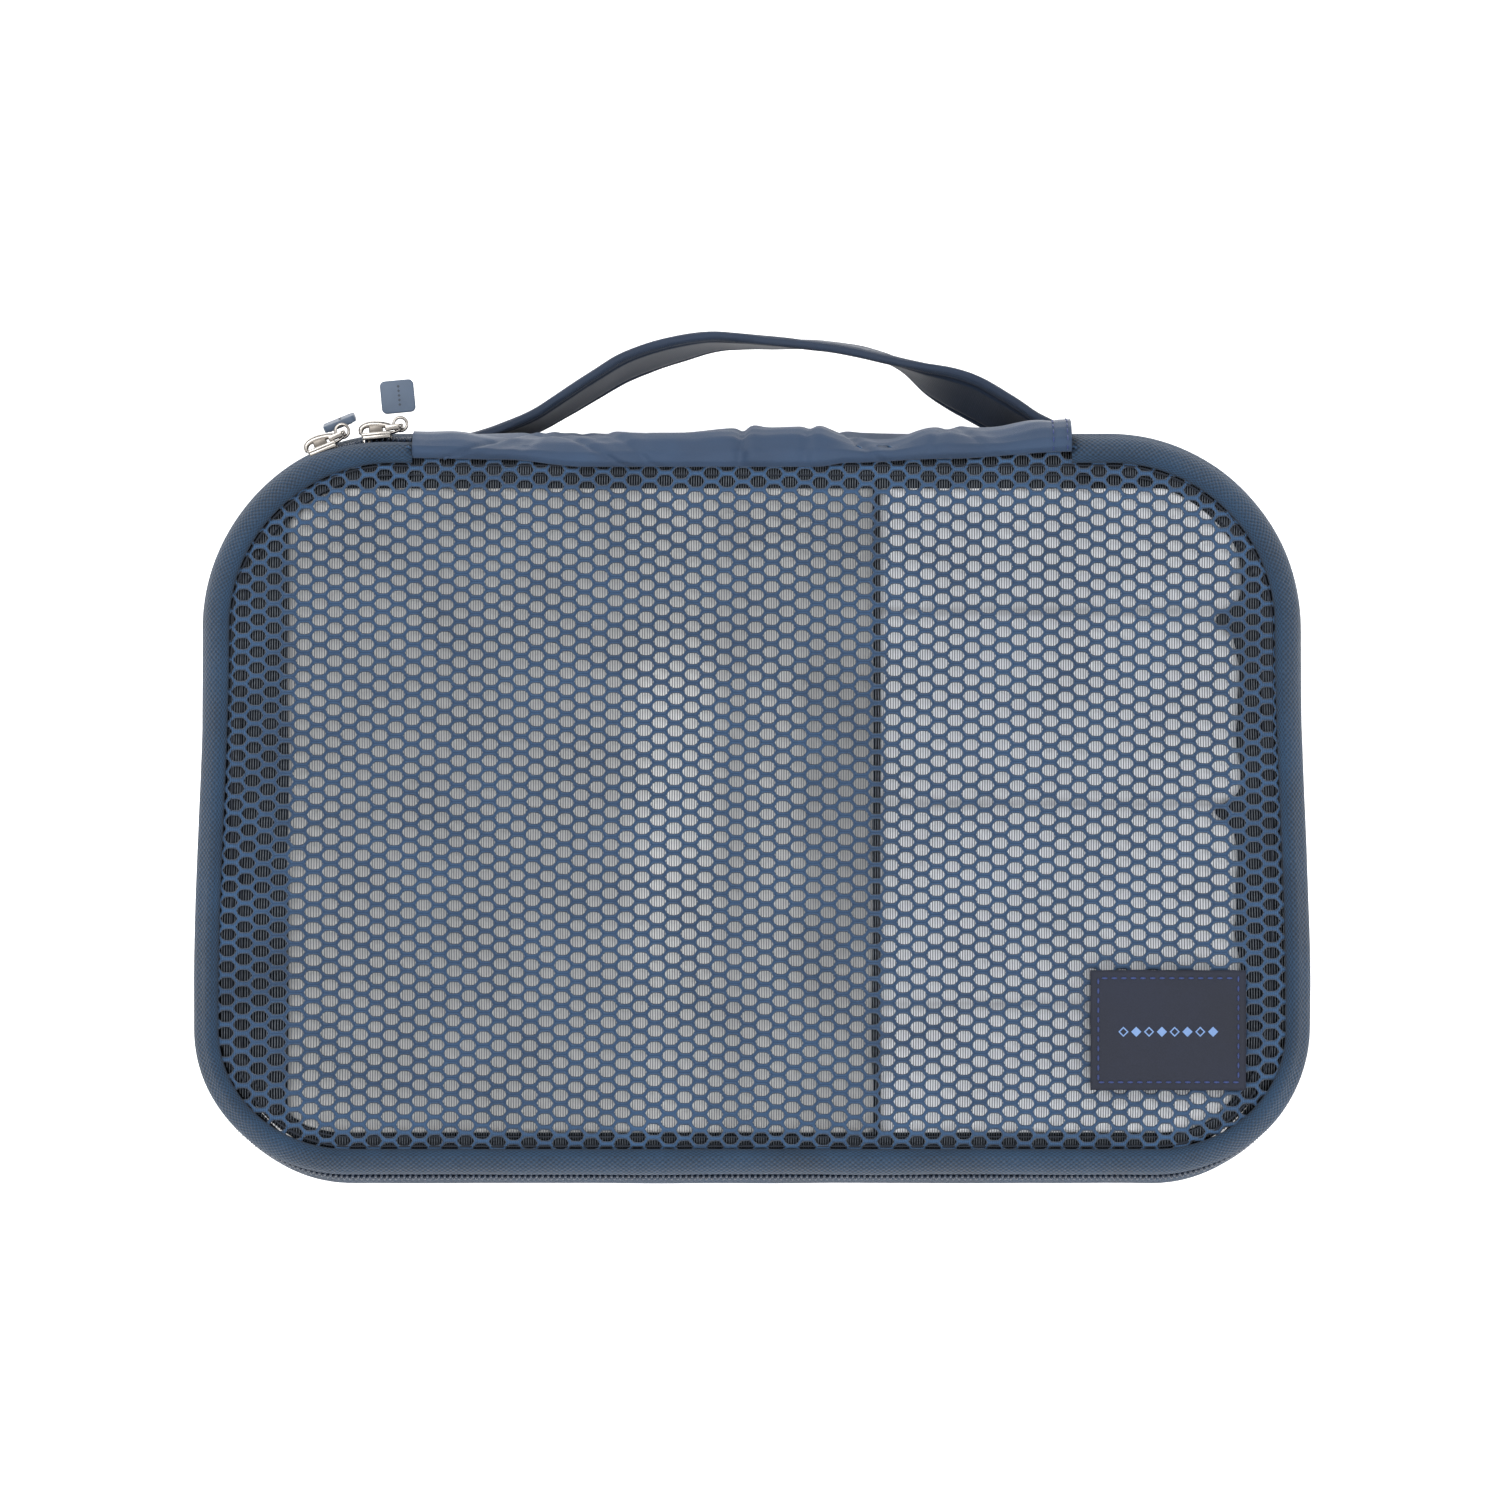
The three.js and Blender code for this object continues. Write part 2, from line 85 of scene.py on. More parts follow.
def smooth(value: float) -> float:
    """Ease a value from 0 to 1, and hold it outside."""
    value = min(max(value, 0.0), 1.0)
    return value * value * (3.0 - 2.0 * value)


def ripple(x: float, y: float, size: float, seed: float) -> float:
    """Return gentle noise from -1 to 1 that changes over a given size."""
    return noise.noise(Vector((x / size, y / size, seed)))


def curve_value(points: Sequence[tuple[float, float]], at: float) -> float:
    """Read a curve that eases from each point to the next.

    Args:
        points: Pairs of place and value, in order of place.
        at: The place to read.

    Returns:
        The eased value between the two nearest points.
    """
    if at <= points[0][0]:
        return points[0][1]
    for (low, start), (high, end) in zip(points, points[1:]):
        if at <= high:
            return start + (end - start) * smooth((at - low) / (high - low))
    return points[-1][1]


def joint(name: str) -> dict:
    """Return one joint of the frame by its name."""
    return next(entry for entry in frame["joints"] if entry["name"] == name)


# ---- Finishes ----


class Wiring:
    """Places the nodes of one tree and joins them."""

    def __init__(self, tree: bpy.types.NodeTree) -> None:
        """Start on an empty tree."""
        self.tree = tree
        tree.nodes.clear()

    def add(self, kind: str, inputs: dict | None = None, **settings: object) -> bpy.types.Node:
        """Place one node.

        Args:
            kind: The node's type name without its ShaderNode prefix.
            inputs: Values or sockets for its inputs, by name or number.
            settings: Properties to set on the node itself.

        Returns:
            The new node.
        """
        prefix = "" if kind.startswith("NodeGroup") else "ShaderNode"
        node = self.tree.nodes.new(prefix + kind)
        for name, value in settings.items():
            setattr(node, name, value)
        for name, value in (inputs or {}).items():
            if isinstance(value, bpy.types.NodeSocket):
                self.tree.links.new(value, node.inputs[name])
            else:
                node.inputs[name].default_value = value
        return node

    def math(self, operation: str, first: object, second: object = 0.0) -> bpy.types.NodeSocket:
        """Return the result of one sum on two values or sockets."""
        return self.add("Math", {0: first, 1: second}, operation=operation).outputs[0]

    def mix(self, amount: object, first: object, second: object) -> bpy.types.NodeSocket:
        """Return a colour between two."""
        inputs = {0: amount, 6: first, 7: second}
        return self.add("Mix", inputs, data_type="RGBA").outputs[2]


def colour(red: float, green: float, blue: float) -> tuple[float, float, float, float]:
    """Turn a screen colour from 0 to 255 into the linear colour that a shader takes."""

    def linear(value: float) -> float:
        share = value / 255.0
        return share / 12.92 if share <= 0.04045 else ((share + 0.055) / 1.055) ** 2.4

    return (linear(red), linear(green), linear(blue), 1.0)


class Pattern(Enum):
    """The cloth patterns that a finish may have."""

    PLAIN_WEAVE = "plain weave"
    TWILL = "twill"


def new_group(name: str, inputs: dict[str, tuple[str, object]], outputs: Iterable[str]) -> bpy.types.NodeTree:
    """Start a shader node group with named sockets.

    Args:
        name: The group's name.
        inputs: Each input's socket kind and default, by name.
        outputs: The names of its outputs, all plain values.

    Returns:
        The empty group.
    """
    group = bpy.data.node_groups.new(name, "ShaderNodeTree")
    for label, (kind, default) in inputs.items():
        socket = group.interface.new_socket(label, in_out="INPUT", socket_type=kind)
        if default is not None:
            socket.default_value = default
    for label in outputs:
        group.interface.new_socket(label, in_out="OUTPUT", socket_type="NodeSocketFloat")
    return group


def weave_group() -> bpy.types.NodeTree:
    """Build the yarns of a woven or knitted cloth: their height, and how worn and mottled they are."""
    group = new_group(
        "woven_yarns",
        {
            "Vector": ("NodeSocketVector", None),
            "Pitch": ("NodeSocketFloat", 0.0004),
            "Diagonal": ("NodeSocketFloat", 0.0),
            "Fuzz": ("NodeSocketFloat", 0.5),
        },
        ("Height", "Mottle"),
    )
    wiring = Wiring(group)
    source = group.nodes.new("NodeGroupInput")
    split = wiring.add("SeparateXYZ", {0: source.outputs["Vector"]})
    turns = wiring.math("DIVIDE", 2.0 * math.pi, source.outputs["Pitch"])
    slant = wiring.math("MULTIPLY", split.outputs[1], source.outputs["Diagonal"])
    across = wiring.math("MULTIPLY", wiring.math("ADD", split.outputs[0], slant), turns)
    along = wiring.math("MULTIPLY", split.outputs[1], turns)
    crossing = wiring.math("MULTIPLY", wiring.math("SINE", across), wiring.math("SINE", along))
    fibres = wiring.add("TexNoise", {"Vector": source.outputs["Vector"], "Scale": 2600.0, "Detail": 2.0})
    patches = wiring.add("TexNoise", {"Vector": source.outputs["Vector"], "Scale": 55.0, "Detail": 3.0})
    fuzz = wiring.math("MULTIPLY", fibres.outputs[0], source.outputs["Fuzz"])
    height = wiring.math("ADD", wiring.math("MULTIPLY", crossing, 0.5), fuzz)
    result = group.nodes.new("NodeGroupOutput")
    group.links.new(height, result.inputs["Height"])
    group.links.new(patches.outputs[0], result.inputs["Mottle"])
    return group


WOVEN_YARNS = weave_group()


@dataclass(frozen=True)
class ClothFinish:
    """A woven or knitted cloth.

    Attributes:
        name: The material's name.
        dark: The colour between the yarns, from 0 to 255.
        light: The colour on top of the yarns.
        pitch: The distance between yarns.
        pattern: How the yarns cross.
        roughness: The cloth's roughness.
        sheen: The strength of its soft edge light.
        relief: The height of its yarns.
        fuzz: The share of loose fibres in the relief.
        on_surface: Whether the pattern follows the piece's own UV map.
        painted_yarn_highlights: Whether each strand of a net gets painted highlights along its two flanks,
            with painted shade along its middle and at its holes, by its ridge attribute.
    """

    name: str
    dark: tuple[float, float, float]
    light: tuple[float, float, float]
    pitch: float = 0.4 * MM
    pattern: Pattern = Pattern.PLAIN_WEAVE
    roughness: float = 0.7
    sheen: float = 0.3
    relief: float = 0.05 * MM
    fuzz: float = 0.5
    on_surface: bool = True
    painted_yarn_highlights: bool = False

    def make(self) -> bpy.types.Material:
        """Build the material."""
        material = bpy.data.materials.new(self.name)
        material.use_nodes = True
        wiring = Wiring(material.node_tree)
        place = wiring.add("TexCoord").outputs["UV" if self.on_surface else "Object"]
        yarns = wiring.add("Group")
        yarns.node_tree = WOVEN_YARNS
        wiring.tree.links.new(place, yarns.inputs["Vector"])
        yarns.inputs["Pitch"].default_value = self.pitch
        yarns.inputs["Diagonal"].default_value = 1.0 if self.pattern is Pattern.TWILL else 0.0
        yarns.inputs["Fuzz"].default_value = self.fuzz
        raised = wiring.add(
            "MapRange",
            {"Value": yarns.outputs["Height"], "From Min": -0.3, "From Max": 0.8},
        ).outputs[0]
        worn = wiring.add(
            "MapRange",
            {
                "Value": yarns.outputs["Mottle"],
                "From Min": 0.3,
                "From Max": 0.7,
                "To Min": -0.18,
                "To Max": 0.18,
            },
        ).outputs[0]
        amount = wiring.add("Math", {0: raised, 1: worn}, operation="ADD", use_clamp=True).outputs[0]
        tint = wiring.mix(amount, colour(*self.dark), colour(*self.light))
        if self.painted_yarn_highlights:
            # Painted highlights: the ridge attribute lightens each strand's two flanks and leaves painted
            # shade along its middle and at the hole edges.
            ridge = wiring.add("Attribute", attribute_name="ridge").outputs["Fac"]
            lit = wiring.math("SINE", wiring.math("MULTIPLY", ridge, math.pi))
            tint = wiring.mix(lit, colour(*self.dark), tint)
        rough = wiring.add(
            "MapRange",
            {
                "Value": yarns.outputs["Mottle"],
                "To Min": self.roughness - 0.08,
                "To Max": self.roughness + 0.08,
            },
        ).outputs[0]
        bump = wiring.add(
            "Bump", {"Height": yarns.outputs["Height"], "Distance": self.relief, "Strength": 0.8}
        )
        shader = wiring.add(
            "BsdfPrincipled",
            {
                "Base Color": tint,
                "Roughness": rough,
                "Normal": bump.outputs[0],
                "Sheen Weight": self.sheen,
                "Sheen Roughness": 0.45,
                "Specular IOR Level": 0.35,
            },
        )
        wiring.add("OutputMaterial", {0: shader.outputs[0]})
        return material


@dataclass(frozen=True)
class MetalFinish:
    """A bright plated metal with fine scuffs and slightly duller patches."""

    name: str
    light: tuple[float, float, float]
    dull: tuple[float, float, float]
    roughness: float = 0.2

    def make(self) -> bpy.types.Material:
        """Build the material."""
        material = bpy.data.materials.new(self.name)
        material.use_nodes = True
        wiring = Wiring(material.node_tree)
        place = wiring.add("TexCoord").outputs["Object"]
        scuffs = wiring.add("TexNoise", {"Vector": place, "Scale": 900.0, "Detail": 4.0}).outputs[0]
        patches = wiring.add("TexNoise", {"Vector": place, "Scale": 260.0, "Detail": 1.0}).outputs[0]
        tint = wiring.mix(patches, colour(*self.dull), colour(*self.light))
        rough = wiring.add(
            "MapRange",
            {
                "Value": scuffs,
                "From Min": 0.35,
                "From Max": 0.7,
                "To Min": self.roughness,
                "To Max": self.roughness + 0.14,
            },
        ).outputs[0]
        bump = wiring.add("Bump", {"Height": scuffs, "Distance": 0.01 * MM, "Strength": 0.3})
        shader = wiring.add(
            "BsdfPrincipled",
            {"Base Color": tint, "Roughness": rough, "Metallic": 1.0, "Normal": bump.outputs[0]},
        )
        wiring.add("OutputMaterial", {0: shader.outputs[0]})
        return material


@dataclass(frozen=True)
class MouldedFinish:
    """Moulded rubber or nylon with a fine grain, or smooth pressed filler sheet with painted shade and
    painted highlights from a point attribute.
    """

    name: str
    light: tuple[float, float, float]
    dark: tuple[float, float, float]
    roughness: float = 0.55
    grain: float = 0.02 * MM
    grain_size: float = 0.3 * MM
    patch_size: float = 6.0 * MM
    painted_shade_level: float = 0.0

    def make(self) -> bpy.types.Material:
        """Build the material."""
        material = bpy.data.materials.new(self.name)
        material.use_nodes = True
        wiring = Wiring(material.node_tree)
        place = wiring.add("TexCoord").outputs["Object"]
        grain, patches = (
            wiring.add("TexNoise", {"Vector": place, "Scale": 1.0 / size, "Detail": detail}).outputs[0]
            for size, detail in ((self.grain_size, 3.0), (self.patch_size, 2.0))
        )
        tint = wiring.mix(patches, colour(*self.dark), colour(*self.light))
        # Painted light: where the point attribute is low, the colour falls to a painted shade, the dark
        # colour times the shade level. The filler uses this for shade along its creases and for bands of
        # painted highlight and shade.
        if self.painted_shade_level:
            mark = wiring.add("Attribute", attribute_name="mark").outputs["Fac"]
            shade = [value * self.painted_shade_level for value in colour(*self.dark)[:3]]
            tint = wiring.mix(mark, (*shade, 1.0), tint)
        rough = wiring.add(
            "MapRange",
            {"Value": grain, "To Min": self.roughness - 0.06, "To Max": self.roughness + 0.06},
        ).outputs[0]
        bump = wiring.add("Bump", {"Height": grain, "Distance": self.grain, "Strength": 0.6})
        shader = wiring.add(
            "BsdfPrincipled",
            {"Base Color": tint, "Roughness": rough, "Normal": bump.outputs[0]},
        )
        wiring.add("OutputMaterial", {0: shader.outputs[0]})
        return material


class Finishes:
    """Every material of the cube, made once."""

    def __init__(self) -> None:
        """Make the materials."""
        self.hinge_nylon = ClothFinish(
            "hinge_nylon", (24, 42, 65), (39, 62, 90), 0.35 * MM, roughness=0.6, sheen=0.12, fuzz=0.3
        ).make()
        self.case_nylon = ClothFinish(
            "case_nylon", (18, 31, 49), (37, 54, 77), 0.4 * MM, roughness=0.65, sheen=0.1, fuzz=0.35
        ).make()
        self.strap_nylon = ClothFinish(
            "strap_nylon", (13, 25, 43), (33, 51, 75), 0.4 * MM, roughness=0.62, sheen=0.1, fuzz=0.3
        ).make()
        self.tape_knit = ClothFinish(
            "tape_knit", (0, 5, 15), (28, 54, 79), 1.4 * MM, Pattern.PLAIN_WEAVE, 0.8, 0.05, 0.3 * MM, 0.9
        ).make()
        self.net_yarn = ClothFinish(
            "net_yarn", (9, 25, 46), (46, 78, 112), 0.5 * MM,
            Pattern.TWILL, 0.7, 0.15, 0.1 * MM, 0.9, False, True
        ).make()
        self.rib_yarn = ClothFinish(
            "rib_yarn", (60, 66, 74), (96, 103, 112), 0.3 * MM,
            Pattern.TWILL, 0.75, 0.1, 0.04 * MM, 0.8, False
        ).make()
        self.binding = ClothFinish(
            "seam_binding", (10, 14, 22), (26, 34, 46), 0.5 * MM, roughness=0.8, sheen=0.05
        ).make()
        self.label_cloth = ClothFinish(
            "label_cloth", (9, 13, 24), (28, 33, 49), 0.35 * MM,
            Pattern.PLAIN_WEAVE, 0.75, 0.05, 0.06 * MM, 0.6, False
        ).make()
        self.label_thread = ClothFinish(
            "label_thread", (80, 106, 150), (118, 148, 190), 0.3 * MM,
            Pattern.TWILL, 0.6, 0.1, 0.04 * MM, 0.3, False
        ).make()
        self.blue_thread = ClothFinish(
            "blue_thread", (28, 42, 84), (50, 68, 122), 0.3 * MM,
            Pattern.TWILL, 0.6, 0.1, 0.04 * MM, 0.3, False
        ).make()
        self.coil_nylon = MouldedFinish(
            "coil_nylon", (40, 56, 78), (22, 32, 48), 0.4, 0.01 * MM, 0.4 * MM, 3.0 * MM
        ).make()
        self.filler_left = MouldedFinish(
            "filler_left", (246, 246, 246), (234, 234, 233), 0.45, 0.02 * MM, 1.2 * MM, 30.0 * MM, 0.36
        ).make()
        self.filler_right = MouldedFinish(
            "filler_right", (240, 242, 246), (226, 228, 232), 0.55, 0.02 * MM, 1.2 * MM, 30.0 * MM, 0.4
        ).make()
        self.pull_rubber = MouldedFinish(
            "pull_rubber", (60, 76, 96), (50, 64, 82), 0.5, 0.02 * MM, 0.25 * MM, 4.0 * MM
        ).make()
        self.pull_mark = MouldedFinish(
            "pull_mark", (34, 44, 58), (26, 34, 46), 0.6, 0.01 * MM, 0.25 * MM, 4.0 * MM
        ).make()
        self.nickel = MetalFinish("nickel", (172, 168, 163), (126, 121, 116), 0.16).make()
        self.dark_nickel = MetalFinish("dark_nickel", (122, 117, 111), (92, 87, 82), 0.3).make()


# ---- Pieces ----


@dataclass
class Piece:
    """One finished object of the scene, and the CAD parts that it hides."""

    name: str
    mesh: bmesh.types.BMesh
    finish: bpy.types.Material
    slot: str
    replaces: tuple[str, ...] = ()
    smooth_shaded: bool = True

    def build(self, modifiers: Callable[[bpy.types.Object], None] | None = None) -> bpy.types.Object:
        """Turn the mesh into an object at the origin.

        Args:
            modifiers: Adds the piece's modifiers, if it has any.

        Returns:
            The object, not yet riding on a body.
        """
        data = bpy.data.meshes.new(self.name)
        self.mesh.to_mesh(data)
        self.mesh.free()
        data.materials.append(self.finish)
        for polygon in data.polygons:
            polygon.use_smooth = self.smooth_shaded
        shape = bpy.data.objects.new(self.name, data)
        bpy.context.scene.collection.objects.link(shape)
        if modifiers:
            modifiers(shape)
        if self.replaces:
            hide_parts(*self.replaces)
        LOG.info("%s: %d faces", self.name, len(data.polygons))
        return shape


def thicken(thickness: float, offset: float = -1.0) -> Callable[[bpy.types.Object], None]:
    """Return what gives a cloth its thickness."""

    def modify(shape: bpy.types.Object) -> None:
        solid = shape.modifiers.new("thickness", "SOLIDIFY")
        solid.thickness = thickness
        solid.offset = offset

    return modify


def mapped_grid(
    columns: int,
    rows: int,
    place: Callable[[float, float], Vector],
    size: tuple[float, float],
    closed: bool = False,
) -> bmesh.types.BMesh:
    """Lay a fine grid onto a surface, with a UV map in metres.

    Args:
        columns: Steps along.
        rows: Steps across.
        place: Gives the surface's point from two shares from 0 to 1.
        size: The cloth's real length and width, for its UV map.
        closed: Whether the first and last row meet.

    Returns:
        The surface.
    """
    mesh = bmesh.new()
    bmesh.ops.create_grid(mesh, x_segments=columns, y_segments=rows, size=0.5)
    uv = mesh.loops.layers.uv.new("cloth")
    shares = {vert: (vert.co.x + 0.5, vert.co.y + 0.5) for vert in mesh.verts}
    for face in mesh.faces:
        for loop in face.loops:
            along, across = shares[loop.vert]
            loop[uv].uv = (along * size[0], across * size[1])
    for vert, (along, across) in shares.items():
        vert.co = place(min(max(along, 0.0), 1.0), min(max(across, 0.0), 1.0))
    if closed:
        bmesh.ops.remove_doubles(mesh, verts=mesh.verts[:], dist=0.01 * MM)
    return mesh


def scatter(mesh: bmesh.types.BMesh, places: Sequence[Matrix]) -> None:
    """Repeat the one small shape in a mesh at every place given.

    Args:
        mesh: The mesh that holds the shape, round its own origin.
        places: Where each copy goes.
    """
    number = mesh.verts.layers.int.new("copy")
    made = 1
    while made < len(places):
        wanted = min(made, len(places) - made)
        chosen = {vert for vert in mesh.verts if vert[number] < wanted}
        geometry = [vert for vert in mesh.verts if vert in chosen]
        geometry += [edge for edge in mesh.edges if edge.verts[0] in chosen]
        geometry += [face for face in mesh.faces if face.verts[0] in chosen]
        for item in bmesh.ops.duplicate(mesh, geom=geometry)["geom"]:
            if isinstance(item, bmesh.types.BMVert):
                item[number] += made
        made += wanted
    for vert in mesh.verts:
        vert.co = places[vert[number]] @ vert.co


def stitch_places(
    path: Sequence[Vector],
    length: float,
    gap: float,
    radius: float,
) -> list[Matrix]:
    """Find where each stitch of a running stitch goes.

    Args:
        path: Points close together along the line.
        length: One stitch's length.
        gap: The cloth left between two stitches.
        radius: The thread's radius.

    Returns:
        What places a ball of radius 1 as each stitch.
    """
    places = []
    travelled = 0.0
    due = gap
    for start, end in zip(path, path[1:]):
        step = (end - start).length
        while step > 0.0 and due <= travelled + step:
            middle = start.lerp(end, (due - travelled) / step)
            turn = (end - start).to_track_quat("X", "Z").to_matrix().to_4x4()
            thread = Matrix.Diagonal((length / 2.0, radius, radius, 1.0))
            places.append(Matrix.Translation(middle) @ turn @ thread)
            due += length + gap
        travelled += step
    return places


def beads(places: Sequence[Matrix]) -> bmesh.types.BMesh:
    """Make one small ball at each place, stretched as the place says."""
    mesh = bmesh.new()
    bmesh.ops.create_uvsphere(mesh, u_segments=8, v_segments=5, radius=1.0)
    scatter(mesh, places)
    return mesh


@dataclass
class Outline:
    """The case's rounded outline, widest at the wall, and the levels of its section.

    Attributes:
        half_length: Half the case's length.
        half_width: Half its width.
        top_corner: The radius of the corners beside the handle.
        bottom_corner: The radius of the other two.
        seam_inset: From the widest outline in to the lid's seam.
        zip_inset: From the widest outline in to the zip.
        side_bow: How far the zip bows out on the short sides.
        zip_level: The zip's height.
        lid_level: The height of the lid's top.
        gusset_top: The height of the wall's hem.
        legs: Each straight's and arc's length, start or centre, direction and radius.
        length: Once round the outline.
    """

    bottom_corner: float = 39.0 * MM
    seam_inset: float = 8.5 * MM
    zip_inset: float = 3.0 * MM
    side_bow: float = 2.7 * MM
    half_length: float = field(init=False)
    half_width: float = field(init=False)
    top_corner: float = field(init=False)
    zip_level: float = field(init=False)
    lid_level: float = field(init=False)
    gusset_top: float = field(init=False)
    legs: list[tuple[float, Vector, Vector, float]] = field(init=False)
    length: float = field(init=False)

    def __post_init__(self) -> None:
        """Read the sizes that the frame gives."""
        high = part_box("gusset_wall")[1]
        self.half_length, self.half_width, self.gusset_top = high
        self.top_corner = self.half_length + joint("slider_a_run")["pos_m"][0]
        self.zip_level = joint("slider_a_run")["pos_m"][2]
        self.lid_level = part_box("mesh_face")[1].z
        self.legs = self._legs()
        self.length = sum(leg[0] for leg in self.legs)

    def _legs(self) -> list[tuple[float, Vector, Vector, float]]:
        """Return each straight's and arc's length, start or centre, direction and radius."""
        top, bottom = self.top_corner, self.bottom_corner
        long_top = 2.0 * (self.half_length - top)
        long_bottom = 2.0 * (self.half_length - bottom)
        side = 2.0 * self.half_width - top - bottom
        x_top, y_top = self.half_length - top, self.half_width - top
        x_low, y_low = self.half_length - bottom, self.half_width - bottom
        quarter = math.pi / 2.0
        return [
            (long_top, Vector((x_top, self.half_width, 0)), Vector((0, 1, 0)), 0.0),
            (top * quarter, Vector((-x_top, y_top, 0)), Vector((0, 1, 0)), top),
            (side, Vector((-self.half_length, y_top, 0)), Vector((-1, 0, 0)), 0.0),
            (bottom * quarter, Vector((-x_low, -y_low, 0)), Vector((-1, 0, 0)), bottom),
            (long_bottom, Vector((-x_low, -self.half_width, 0)), Vector((0, -1, 0)), 0.0),
            (bottom * quarter, Vector((x_low, -y_low, 0)), Vector((0, -1, 0)), bottom),
            (side, Vector((self.half_length, -y_low, 0)), Vector((1, 0, 0)), 0.0),
            (top * quarter, Vector((x_top, y_top, 0)), Vector((1, 0, 0)), top),
        ]

    def station(self, top_x: float) -> float:
        """Return how far along the outline a place on the handle's side is."""
        return self.half_length - self.top_corner - top_x

    def at(self, along: float) -> tuple[Vector, Vector]:
        """Return the widest outline's point and its outward direction, some way along it."""
        along %= self.length
        for length, anchor, outward, radius in self.legs:
            if along <= length:
                if radius:
                    turned = Matrix.Rotation(along / radius, 3, "Z") @ outward
                    return anchor + turned * radius, turned
                forward = Vector((-outward.y, outward.x, 0))
                return anchor + forward * along, outward
            along -= length
        return self.legs[0][1].copy(), self.legs[0][2].copy()

    def inset_at(self, x: float, y: float) -> tuple[float, Vector]:
        """Return how far inside the widest outline a place is, and the way out."""
        radius = self.top_corner if y > 0 else self.bottom_corner
        core_x, core_y = self.half_length - radius, self.half_width - radius
        out = Vector((x - min(max(x, -core_x), core_x), y - min(max(y, -core_y), core_y), 0))
        if out.length > 1e-9:
            return radius - out.length, out.normalized()
        gap_x, gap_y = self.half_length - abs(x), self.half_width - abs(y)
        if gap_x < gap_y:
            return gap_x, Vector((math.copysign(1, x), 0, 0))
        return gap_y, Vector((0, math.copysign(1, y), 0))

    def cut_area(self, inset: float) -> float:
        """Return the area inside the outline at an inset, less what its round corners cut away."""
        corners = (self.top_corner - inset) ** 2 + (self.bottom_corner - inset) ** 2
        whole = 4 * (self.half_length - inset) * (self.half_width - inset)
        return whole - (2 - math.pi / 2) * corners

    def bow(self, point: Vector, outward: Vector) -> float:
        """Return how far the zip bows out on the two short sides, away from the sliders."""
        start, end = self.half_width - self.top_corner, -0.5 * self.half_width
        return self.side_bow * abs(outward.x) ** 2 * smooth((start - point.y) / (start - end))

    def belly(self, outward: Vector, level: float) -> float:
        """Return how far the wall below the zip stands out past the lid on the side away from the handle."""
        return 1.6 * MM * max(0.0, -outward.y) ** 3 * smooth((self.zip_level + 1.6 * MM - level) / (1.4 * MM))

    def wall_point(self, along: float, inset: float, level: float, bow_share: float = 1.0) -> Vector:
        """Return a point of the wall.

        Args:
            along: How far round the outline.
            inset: How far in from the widest outline.
            level: The height.
            bow_share: The share of the zip's bow that reaches this far up or down the wall.
        """
        point, outward = self.at(along)
        point = point - outward * (inset - bow_share * self.bow(point, outward) - self.belly(outward, level))
        return Vector((point.x, point.y, level))


# ---- The case ----


